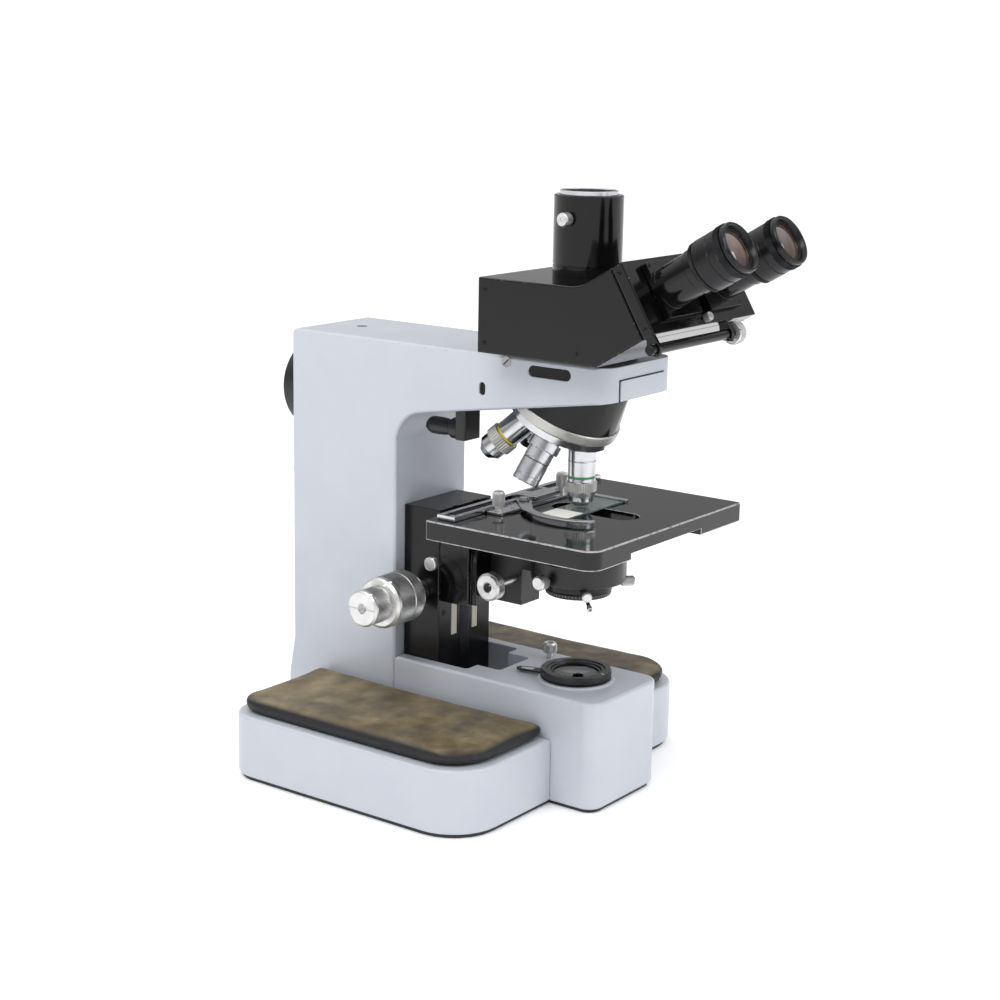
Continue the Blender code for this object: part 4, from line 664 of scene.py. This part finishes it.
lens_glass, tree, shader = surface("polished crown glass", "8B9296", 0.02, IOR=1.52,
    Transmission_Weight=1.0)
clouded(tree, shader, 12, 0.015, 0.05)
mirror_film, tree, shader = surface("aluminised mirror glass", "E4E6E8", 0.03, Metallic=1.0)
clouded(tree, shader, 15, 0.02, 0.06)
inlay_metal = metal("satin nickel inlay", "C9CACB", "AFB0B2", 0.25, 0.5, 0.01)
ring_low, ring_high = measured("field_ring")
turned("field_lens_ring", [(17.5, ring_low.z), (26.6, ring_low.z), (27, ring_low.z + 0.5),
    (27, ring_high.z - 0.9), (26.2, ring_high.z), (22.4, ring_high.z), (21.8, ring_high.z - 0.9),
    (19.6, ring_high.z - 1.1), (19.0, ring_high.z - 2.2), (17.5, ring_high.z - 2.6)], satin_black, "stand",
    UPRIGHT, 0.2, 96, ["field_ring"])
block("field_ring_mark", (-0.7, -26.0, ring_high.z - 0.25), (0.7, -22.8, ring_high.z + 0.02),
    turned_aluminium, "stand", 0.0)
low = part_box("field_lens")[0].z / MM
turned("field_lens_glass", [(0, low), (17.2, low), (17.2, low + 2.2), (14, low + 3.0), (10, low + 3.7),
    (5, low + 4.15), (0, low + 4.3)], lens_glass, "stand", UPRIGHT, 0.0, 72, ["field_lens"])
refined("base_mirror", mirror_film, 0.2)
refined("field_lever", slide_black, 0.15)
lever_low, lever_high = measured("field_lever")
LEVER_TURN = math.radians(105.0)
inlay = [(math.cos(LEVER_TURN) * along - math.sin(LEVER_TURN) * aside,
          math.sin(LEVER_TURN) * along + math.cos(LEVER_TURN) * aside)
         for along, aside in stadium(39.2, 0, 11.0, 4.6)]
outline_solid("field_lever_inlay", inlay, lever_high.z - 0.1, lever_high.z + 0.25, "Z", inlay_metal,
    "field_iris", 0.1)
knob_low, knob_high = measured("field_knob")
knob_at = placed(((knob_low.x + knob_high.x) / 2, (knob_low.y + knob_high.y) / 2, knob_low.z))
turned("field_clamp_screw", [(0, 0), (2.5, 0), (2.5, 4), (4.6, 4), (5.1, 4.6), (5.1, 10.9), (4.4, 12),
    (3.0, 12), (2.6, 11.6), (2.6, 9), (0, 9)], turned_aluminium, "field_clamp", knob_at, 0.15, 48,
    ["field_knob"])
knurled("field_clamp_grip", "field_clamp", knob_at, 4.9, 5.6, 5.55, knurl_aluminium, 0.9, 0.25)

# ---- Stage lift and stage plate ----
# The lift bracket is an iron casting in gloss black enamel. The stage is a ground plate, lacquered to a
# black mirror and worn bright along its edges; two chromed rails at its rear guide the slide holder.

gloss_black = coating("gloss black stove enamel", "050506", "08080A", "9A9B9D", 0.12, 2.2, 0.02, -0.1, 0.15,
    0.25)
stage_black = coating("polished black lacquer on steel", "040405", "060608", "B4B5B7", 0.07, 3.0, 0.01, 1.1,
    0.25, 0.3)
chrome = metal("satin chrome plate", "D3D4D6", "BFC1C4", 0.17, 0.5, 0.01, (1, 12, 1))
refined("stage_bracket", gloss_black, 0.5)
screws("bracket_screws", "stage_lift", 3.2, [(sign * 24, 79.0, z) for sign in (-1, 1) for z in (145, 192)],
    [(0, -1, 0)] * 4, dark_steel, 0.6)
screws("bracket_side_screws", "stage_lift", 2.6, [(-33.5, 88, 190), (-33.5, 88, 150), (33.5, 88, 190),
    (33.5, 88, 150)], [(-1, 0, 0), (-1, 0, 0), (1, 0, 0), (1, 0, 0)], dark_steel, 0.5)
refined("stage_plate", stage_black, 0.35)
plate_low, plate_high = measured("stage_plate")
STAGE_TOP = plate_high.z
refined("rail_frame", chrome, 0.25)
rail_low, rail_high = measured("rail_frame")
screws("rail_screws", "stage_cross", 2.4, [
    (x, y, rail_high.z) for x in (rail_low.x + 3.2, rail_high.x - 3.2)
    for y in (rail_low.y + 8, rail_high.y - 8)], [(0, 0, 1)] * 4, screw_steel, 0.5)
grown("rail_scale", row_tree, "stage_cross",
    placed((rail_low.x + 12, rail_low.y + 1.1, rail_high.z + 0.01)), Material=slide_black, Count=76,
    Step=Vector((-1, 0, 0)) * MM, Bar=Vector((0.22, 1.5, 0.04)) * MM)
drive_low, drive_high = measured("stage_y_knob")
drive_at = ((drive_low.x + drive_high.x) / 2, (drive_low.y + drive_high.y) / 2)
for node, body, radius in (("stage_y_knob", "stage_y_drive", 14.0), ("stage_x_knob", "stage_x_drive", 11.0)):
    low, high = measured(node)
    knob_at = placed((*drive_at, low.z))
    tall = high.z - low.z
    turned(node + "_wheel", [(4.3, 0), (radius - 1.2, 0), (radius - 0.2, 1.0), (radius - 0.2, 1.6),
        (radius - 0.7, 2.0), (radius - 0.7, tall - 2.0), (radius - 0.2, tall - 1.6),
        (radius - 0.2, tall - 0.9), (radius - 1.4, tall), (4.3, tall)], satin_black, body, knob_at, 0.2, 64,
        [node])
    knurled(node + "_grip", body, knob_at, 2.2, tall - 4.4, radius - 0.05, satin_black, 1.2)

# ---- Slide holder ----
# A satin-chromed plate slides along the rails and carries the glass slide. Its sprung crescent finger
# turns on a slotted screw, and two knurled screws clamp the plate to its carriage.

refined("holder_plate", chrome, 0.25)
HOLDER_TOP = STAGE_TOP + 2.3
# The black piece in the holder's window and the thin black strip along its gap are painted shade.
block("holder_window_shade", (0, 45.4, HOLDER_TOP + 3.2), (15, 51.0, HOLDER_TOP + 4.0), slide_black,
    "slide_holder", 0.1)
block("holder_gap_shade", (-22, 29.0, HOLDER_TOP - 0.02), (13, 33.5, HOLDER_TOP + 0.06), slide_black,
    "slide_holder", 0.0)
screws("holder_pivot_screw", "slide_holder", 4.3, [(-21, 37, HOLDER_TOP + 2.7)], [(0, 0, 1)], screw_steel,
    0.8)
screws("holder_small_screws", "slide_holder", 1.5, [(-40, 33.5, HOLDER_TOP), (-40, 40.5, HOLDER_TOP),
    (38, 32, HOLDER_TOP)], [(0, 0, 1)] * 3, screw_steel, 0.3)
refined("spring_finger", chrome, 0.2)
slide_glass, tree, shader = surface("ground-edge float glass", "DDEBE8", 0.03, IOR=1.52,
    Transmission_Weight=0.9)
clouded(tree, shader, 10, 0.02, 0.07)
label_paper = coating("white paper label", "F2F1EC", "E9E8E1", "F2F1EC", 0.6, 0.4, 0.01, -1)
refined("specimen_slide", slide_glass, 0.12)
slide_low, slide_high = measured("specimen_slide")
block("slide_label", (slide_low.x + 0.8, slide_low.y + 1, slide_high.z),
    (slide_low.x + 24, slide_high.y - 1, slide_high.z + 0.08), label_paper, "slide_holder", 0.0)
outline_solid("cover_glass", [(-10, -12), (12, -12), (12, 10), (-10, 10)], slide_high.z,
    slide_high.z + 0.16, "Z", slide_glass, "slide_holder", 0.0)
for side in ("left", "right"):
    node = "holder_screw_" + side
    low, high = measured(node)
    at = placed(((low.x + high.x) / 2, (low.y + high.y) / 2, low.z))
    body = "holder_clamp_" + side
    turned(node + "_head", [(0, 0), (2.6, 0), (2.6, 3.5), (3.9, 3.5), (4.3, 4.0), (4.3, 13.2), (3.7, 14.5),
        (0, 14.5)], turned_aluminium, body, at, 0.15, 48, [node])
    knurled(node + "_grip", body, at, 4.3, 8.8, 4.68, knurl_aluminium, 0.8, 0.25)

# ---- Condenser ----
# The condenser hangs in a ring below the stage, on a dovetail slide with a rack knob. It is turned
# brass, enamelled black; two knurled screws centre it, and a lever turns the iris at its foot.

refined("condenser_carrier", satin_black, 0.4)
turned("condenser_barrel", [(8, 159), (25.6, 159), (26, 159.5), (26, 165.2), (25.2, 165.6), (25.2, 166.2),
    (31, 171.0), (31, 187.0), (30.4, 187.5), (30.4, 188.2), (31, 188.7), (31, 190), (25, 193), (14, 198),
    (10, 206), (10, 215), (9, 216), (8, 216)], gloss_black, "condenser_lift", UPRIGHT, 0.2, 96,
    ["condenser_body"])
turned("condenser_top_lens", [(0, 212.5), (8.4, 212.5), (8.4, 215.2), (7, 215.7), (4, 215.95), (0, 216)],
    lens_glass, "condenser_lift", UPRIGHT, 0.0, 48)
refined("iris_ring", satin_black, 0.25)
white_fill = coating("white engraving paint", "A9A9A6", "9C9C99", "A9A9A6", 0.5, 0.8, 0.01, -1)
ring_tree, given = recipe("Ring of bars", Count="Int", Radius="Float", Bar="Vector")
ring_points = add(ring_tree, "GeometryNodeMeshCircle", links={"Vertices": given["Count"],
    "Radius": given["Radius"]})
ring_bar = add(ring_tree, "GeometryNodeMeshCube", links={"Size": given["Bar"]})
ring_out = add(ring_tree, "FunctionNodeAlignRotationToVector", {"axis": "X"},
    {"Vector": add(ring_tree, "GeometryNodeInputPosition")})
ring_set = add(ring_tree, "GeometryNodeInstanceOnPoints", links={"Points": ring_points,
    "Instance": ring_bar, "Rotation": ring_out})
served(ring_tree, given, ring_set.outputs[0])
grown("iris_graduations", ring_tree, "iris", placed((0, 0, 156.8)), Material=white_fill, Count=60,
    Radius=25.0 * MM, Bar=Vector((0.1, 0.25, 1.3)) * MM)
lever_turn = math.radians(-131.7)
lever_out = Vector((math.cos(lever_turn), math.sin(lever_turn), -0.45)).normalized()
LEVER_REACH = 24
lever_root = (LEVER_REACH * math.cos(lever_turn), LEVER_REACH * math.sin(lever_turn), 156.4)
turned("iris_lever_tip", [(0, 9.8), (1.7, 9.8), (2.0, 10.2), (2.0, 13.6), (1.6, 14), (0, 14)],
    turned_aluminium, "iris", placed(lever_root, lever_out), 0.1, 32)
for side, angle in (("left", -137.3), ("right", -42.6)):
    out = (math.cos(math.radians(angle)), math.sin(math.radians(angle)), 0)
    at = placed((0, 0, 162.0), out)
    body = "centring_" + side
    turned("centring_spindle_" + side, [(0, 21.4), (1.9, 21.4), (1.9, 32.5), (3.3, 33.1), (3.5, 33.5),
        (3.5, 42.7), (3.0, 43.4), (0, 43.4)], turned_aluminium, body, at, 0.12, 40,
        ["centring_screw_" + side])
    knurled("centring_grip_" + side, body, at, 33.9, 8.4, 3.88, knurl_aluminium, 0.75, 0.22)
RACK_KNOB = Vector((0, 51.0, 158.6))
knob_at = placed(RACK_KNOB, (-1, 0, 0))
turned("condenser_rack_knob", [(0, -14), (3, -14), (3, 37.4), (9.6, 37.4), (10.1, 38.0), (10.1, 45.3),
    (9.3, 46.4), (4.0, 46.4), (3.7, 45.8), (0, 45.8)], turned_aluminium, "condenser_drive", knob_at, 0.2,
    56, ["condenser_knob"])
knurled("condenser_rack_grip", "condenser_drive", knob_at, 38.3, 6.8, 10.77, knurl_aluminium, 1.0)
screws("condenser_knob_screw", "condenser_drive", 3.4, [RACK_KNOB + Vector((-45.9, 0, 0))], [(-1, 0, 0)],
    dark_steel, 0.9)
clamp_low, clamp_high = measured("condenser_clamp")
clamp_at = placed((0, (clamp_low.y + clamp_high.y) / 2, (clamp_low.z + clamp_high.z) / 2), (-1, 0, 0))
turned("condenser_clamp_head", [(0, 31.4), (2, 31.4), (2, 40.3), (4.8, 40.3), (5.2, 40.8), (5.2, 48.0),
    (4.6, 48.8), (0, 48.8)], turned_aluminium, "condenser_clamp_screw", clamp_at, 0.15, 40,
    ["condenser_clamp"])
knurled("condenser_clamp_grip", "condenser_clamp_screw", clamp_at, 41.1, 6.6, 5.48, knurl_aluminium, 0.8,
    0.25)

# ---- Nosepiece and objectives ----
# A fixed black shell is screwed up into the arm, and a turret with five threaded seats spins below it
# on a ball race, turned by its grey rim. Five chromed objectives screw in; a black handle locks it.

TURRET_AXIS = Vector((0, -0.430511, 0.902585))
TURRET_AT = Vector((0, 22.565, 275.763))
SEAT_Z = 265.0
POSITIONS = 5
TURRET_TILT = math.radians(25.5)
turret_at = placed(TURRET_AT, TURRET_AXIS)
rim_metal = metal("grey anodised aluminium rim", "C8C7C3", "B9B8B4", 0.45, 0.5, 0.02)
refined("nosepiece_bowl", gloss_black, 0.3)
refined("turret", chrome, 0.2)
turned("turret_rim", [(36, 12.6), (40.8, 12.6), (41.7, 13.4), (42, 14.2), (42, 20.2), (41.2, 21), (36, 21)],
    rim_metal, "turret_head", turret_at, 0.15, 120, ["turret_ring"])

RING_PAINTS = (("green", "2F8F5B", "2A8152"), ("yellow", "D9C22E", "CDB628"), ("red", "B5382E", "A83028"),
               ("blue", "3E6FB4", "3867A9"))
fill = {colour: coating(colour + " colour-ring paint", full, deep, full, 0.35, 0.8, 0.01, -1, 0.3)
        for colour, full, deep in RING_PAINTS}
front_glass, tree, shader = surface("coated front lens", "20202A", 0.03, IOR=1.7, Coat_Weight=1.0)
tree.links.new(blend(tree, add(tree, "ShaderNodeLayerWeight", links={"Blend": 0.4}).outputs["Facing"],
                     "3A2A18", "2B2140"), shader.inputs["Base Color"])


def seat(number):
    """Frame of one turret seat: its origin on the seat's face, Z pointing down the objective."""
    axis = Matrix.Translation(TURRET_AT * MM) @ Matrix.Rotation(TURRET_TILT, 4, "X")
    turn = Matrix.Rotation(-2 * math.pi * number / POSITIONS, 4, "Z")
    return (axis @ turn @ axis.inverted() @ Matrix.Translation((0, 0, SEAT_Z * MM))
            @ Matrix.Rotation(math.pi, 4, "X"))


# Each objective: outline as (radius, drop below the seat), its colour ring, and its knurled collar.
OBJECTIVES = {
    1: ([(10.5, 0.4), (10.5, 8.0), (10.2, 8.2), (10.2, 8.8), (10.5, 9.0), (10.5, 19.8), (10.15, 20.0),
        (10.15, 21.6), (10.5, 21.8), (10.5, 24.0), (11.2, 24.4), (11.2, 31.6), (10.4, 32.2), (10.4, 35.0),
        (10.0, 35.6), (9.6, 38.9), (6.4, 42.2), (3.4, 42.4), (3.2, 42.0),
        (0, 41.9)], (20.1, 21.5, fill["green"], 10.3), (24.5, 31.4, 11.85)),
    2: ([(12.3, 0.4), (12.3, 7.2), (12.0, 7.5), (10.1, 7.8), (10.1, 16.0), (9.8, 16.2), (9.8, 17.4),
        (10.1, 17.6), (10.1, 29.0), (9.8, 29.2), (9.8, 29.8), (10.1, 30.0), (10.1, 34.0), (9.5, 34.6),
        (5.0, 34.6), (4.6, 34.0), (0, 34.0)], (16.5, 17.1, slide_black, 9.95), None),
    3: ([(10.5, 0.4), (10.5, 18.6), (10.15, 18.8), (10.15, 20.6), (10.5, 20.8), (11.3, 21.4), (11.3, 29.0),
        (10.6, 29.6), (10.4, 36.4), (5.4, 42.2), (3.2, 42.4), (3.0, 42.0),
        (0, 41.9)], (18.9, 20.5, fill["yellow"], 10.3), (20.9, 29.3, 11.95)),
    4: ([(10.5, 0.4), (10.5, 15.6), (10.15, 15.8), (10.15, 17.4), (10.5, 17.6), (11.0, 18.4), (11.0, 26.0),
        (9.0, 28.0), (8.0, 38.0), (4.4, 42.2), (2.6, 42.4), (2.4, 42.0),
        (0, 41.9)], (15.9, 17.3, fill["blue"], 10.3), (18.6, 25.8, 11.55)),
    5: ([(11.5, 0.4), (11.5, 9.6), (10.0, 10.4), (10.0, 20.0), (9.7, 20.2), (9.7, 21.4), (10.0, 21.6),
        (10.0, 28.0), (8.8, 29.0), (5.6, 29.0), (5.2, 28.4), (0, 28.4)], (20.25, 21.35, fill["red"], 9.85),
        None),
}
for number, (outline, ring, collar) in OBJECTIVES.items():
    at = seat(number - 1)
    name = "objective_%d" % number
    turned(name + "_barrel", [(0, -4.5), (10.0, -4.5), (10.2, -4.2), (10.2, 0.2), *outline], chrome,
        "turret_head", at, 0.12, 96, [name])
    start, end, paint, radius = ring
    turned(name + "_colour_ring", [(radius - 0.6, start), (radius, start), (radius, end),
        (radius - 0.6, end)], paint, "turret_head", at, 0, 96)
    if collar:
        knurled(name + "_collar", "turret_head", at, collar[0], collar[1] - collar[0], collar[2], rim_metal,
            2.0, 0.5)
    glass_drop = outline[-1][1]
    turned(name + "_lens", [(0, glass_drop - 0.8), (2.2, glass_drop - 0.8), (2.2, glass_drop + 0.1),
        (0, glass_drop + 0.3)], front_glass, "turret_head", at, 0, 32)

refined("lock_bracket", satin_black, 0.4)
lock_low, lock_high = measured("nosepiece_lock")
turned("nosepiece_lock_handle", [(0, 0), (7.6, 0), (8, 0.4), (8, 7.4), (7.4, 8.2), (6.2, 9.6), (6.0, 12),
    (6.6, 15), (6.8, 20), (6.8, 26), (6.2, 29), (4.6, 31.2), (2.4, 31.9), (0, 32)], satin_black,
    "nosepiece_clamp",
    placed(((lock_low.x + lock_high.x) / 2, lock_low.y, (lock_low.z + lock_high.z) / 2), (0, 1, 0)), 0.15,
    56, ["nosepiece_lock"])

# ---- Head: prism housing, cap and camera tube ----
# The prism housing is a casting in gloss black enamel, hardly worn at its corners. A thick cap is
# screwed to its sloping front. The upright camera tube holds a chromed insert under a clamp screw.

head_black = coating("gloss black stove enamel on the head", "050506", "08080A", "A4A5A7", 0.13, 2.0, 0.02,
    -0.2, 0.15, 0.3)
dovetail_low, dovetail_high = measured("dovetail_ring")
turned("head_dovetail", [(20, dovetail_low.z), (38.6, dovetail_low.z), (39, dovetail_low.z + 0.4),
    (38.0, dovetail_high.z), (20, dovetail_high.z)], satin_black, "stand", UPRIGHT, 0.1, 96,
    ["dovetail_ring"])
refined("head_body", head_black, 0.55)
refined("head_cap", head_black, 0.55)
HEAD_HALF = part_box("head_body")[1].x / MM
HEAD_TILT = math.radians(30.9)
LOOK = Vector((0, -math.cos(HEAD_TILT), math.sin(HEAD_TILT)))
RISE = Vector((0, math.sin(HEAD_TILT), math.cos(HEAD_TILT)))
DUCT_LOW = Vector((0, -102.1, 368.0))
DUCT_TALL = 54.3
PUPIL_HALF = 34.7
cap_sides = [DUCT_LOW - LOOK * 5.0 + RISE * up + Vector((sign * HEAD_HALF, 0, 0))
             for sign in (-1, 1) for up in (6.0, DUCT_TALL - 6.0)]
screws("cap_side_screws", "stand", 1.7, cap_sides, [(-1, 0, 0), (-1, 0, 0), (1, 0, 0), (1, 0, 0)],
    dark_steel, 0.3)
body_sides = [
    Vector((sign * HEAD_HALF, y, z)) for sign in (-1, 1) for y, z in ((40, 348), (40, 386), (-40, 348))]
screws("head_side_screws", "stand", 1.7, body_sides, [(-1, 0, 0)] * 3 + [(1, 0, 0)] * 3, dark_steel, 0.25)
tube_low, tube_high = measured("phototube")
turned("camera_tube", [(19, tube_low.z), (25.3, tube_low.z), (25.3, tube_low.z + 6.2),
    (24.7, tube_low.z + 6.7), (24.7, tube_low.z + 7.4), (25.3, tube_low.z + 7.9), (25.3, tube_high.z - 1),
    (24.3, tube_high.z), (21.5, tube_high.z), (21.5, tube_high.z - 4), (19, tube_high.z - 4)], head_black,
    "stand", UPRIGHT, 0.2, 120, ["phototube"])
insert_low, insert_high = measured("tube_insert")
turned("camera_tube_insert", [(19, insert_low.z), (21.2, insert_low.z), (21.2, insert_high.z - 0.5),
    (20.6, insert_high.z), (19.7, insert_high.z), (19, insert_high.z - 0.8)], chrome, "stand", UPRIGHT,
    0.12, 120, ["tube_insert"])
tube_screw_at = placed((0, 0, 435.5), (-1, 0, 0))
turned("camera_tube_screw", [(0, 20), (2, 20), (2, 26.5), (4.4, 26.5), (4.8, 26.9), (4.8, 33.2), (4.3, 34),
    (1.6, 34), (1.4, 33.6), (0, 33.6)], turned_aluminium, "tube_clamp", tube_screw_at, 0.15, 48,
    ["tube_screw"])
knurled("camera_tube_screw_grip", "tube_clamp", tube_screw_at, 27.2, 5.8, 5.18, knurl_aluminium, 0.85, 0.25)

# ---- Eyepieces ----
# Two plates slide sideways on the cap to suit the eyes, each with a fixed sleeve. The eyepieces drop
# in: black anodised barrels with a fine knurled ring, and a deep-set lens with an amber coating.

eyepiece_black = coating("black anodised eyepiece barrel", "0D0D0F", "131315", "909193", 0.3, 0.5, 0.015,
    -0.05, 0.05, 0.3)
eye_glass, tree, shader = surface("coated eye lens", "1A1410", 0.02, IOR=1.6, Coat_Weight=1.0,
    Coat_Roughness=0.02)
tree.links.new(blend(tree, mottle(tree, 9, 0, 1, 1), "5C4526", "2E2233"), shader.inputs["Base Color"])
for side, sign in (("left", -1), ("right", 1)):
    tube = "pupil_" + side
    eye = "dioptre_" + side
    refined("eyepiece_tube_" + side, head_black, 0.3)
    centre = DUCT_LOW + RISE * (DUCT_TALL / 2 + 1.6) + Vector((sign * PUPIL_HALF, 0, 0))
    at = placed(centre, LOOK)
    corner_x = (-26.2, 12.4) if sign > 0 else (-12.4, 26.2)
    spots = [centre + LOOK * 5.0 + Vector((x, 0, 0)) + RISE * z for x in corner_x for z in (-18.2, 18.2)]
    screws("slide_plate_screws_" + side, tube, 1.5, spots, [LOOK] * 4, dark_steel, 0.3)
    turned("sleeve_collar_" + side, [(15.45, 30.0), (15.9, 30.0), (16.3, 30.5), (16.3, 35.6),
        (15.45, 35.9)], head_black, tube, at, 0.1, 96)
    turned("eyepiece_barrel_" + side, [(0, 16.5), (11.2, 16.5), (11.2, 36.3), (17.2, 36.3), (17.9, 36.9),
        (17.9, 39.4), (18.4, 40.2), (18.9, 40.9), (18.9, 52.0), (18.5, 52.4), (18.5, 53.2), (18.9, 53.6),
        (18.9, 58.9), (18.3, 59.5), (18.3, 64.4), (18.6, 65.0), (18.6, 67.6), (17.8, 68.8), (16.6, 68.8),
        (15.9, 68.2), (14.9, 66.0), (14.4, 63.4), (0, 63.4)], eyepiece_black, eye, at, 0.15, 112,
        ["eyepiece_" + side])
    knurled("eyepiece_grip_" + side, eye, at, 59.6, 4.7, 19.45, dark_steel, 0.95, 0.3)
    knurled("eyepiece_foot_grip_" + side, eye, at, 37.0, 2.6, 18.6, eyepiece_black, 0.95, 0.25)
    turned("eye_lens_" + side, [(0, 63.3), (14.3, 63.3), (14.3, 63.9), (11, 65.2), (6, 66.3), (0, 66.7)],
        eye_glass, eye, at, 0.0, 72)
    turned("eye_lens_seat_" + side, [(13.7, 63.6), (14.6, 63.6), (14.6, 65.4), (14.0, 65.4)], satin_black,
        eye, at, 0.0, 72)
wheel_low, wheel_high = measured("ipd_wheel")
wheel_centre = (wheel_low + wheel_high) / 2
wheel_at = placed(wheel_centre - LOOK * 3.0, LOOK)
turned("spacing_wheel", [(0, 0.1), (2.8, 0.1), (3.0, 0.5), (3.0, 5.4), (2.6, 5.9), (0, 5.9)],
    knurl_aluminium, "pupil_wheel", wheel_at, 0.1, 40, ["ipd_wheel"])
knurled("spacing_wheel_grip", "pupil_wheel", wheel_at, 0.9, 4.2, 3.28, knurl_aluminium, 0.6, 0.2)

# ---- Beam rod ----
# A push rod slides in two lugs under the duct and swings the prism between the eyepieces and the
# camera tube. The rod is blacked steel; its knob is knurled aluminium, held by a slotted screw.

beam_at = placed((0, -102.0, 357.6), (1, 0, 0))
rod_steel = coating("chemically blacked steel rod", "0B0B0D", "111113", "6F7072", 0.25, 0.6, 0.01, 0.0,
    0.05, 0.3)
turned("beam_push_rod", [(0, -75), (2.9, -75), (3.6, -74.2), (3.6, 34.9), (0, 34.9)], rod_steel,
    "beam_slide", beam_at, 0.1, 40, ["beam_rod"])
turned("beam_push_knob", [(0, 35.2), (7.3, 35.2), (8.0, 35.9), (8.0, 42.3), (7.2, 43.2), (0, 43.2)],
    turned_aluminium, "beam_slide", beam_at, 0.2, 64, ["beam_knob"])
knurled("beam_knob_grip", "beam_slide", beam_at, 36.2, 5.9, 8.48, knurl_aluminium, 1.1)
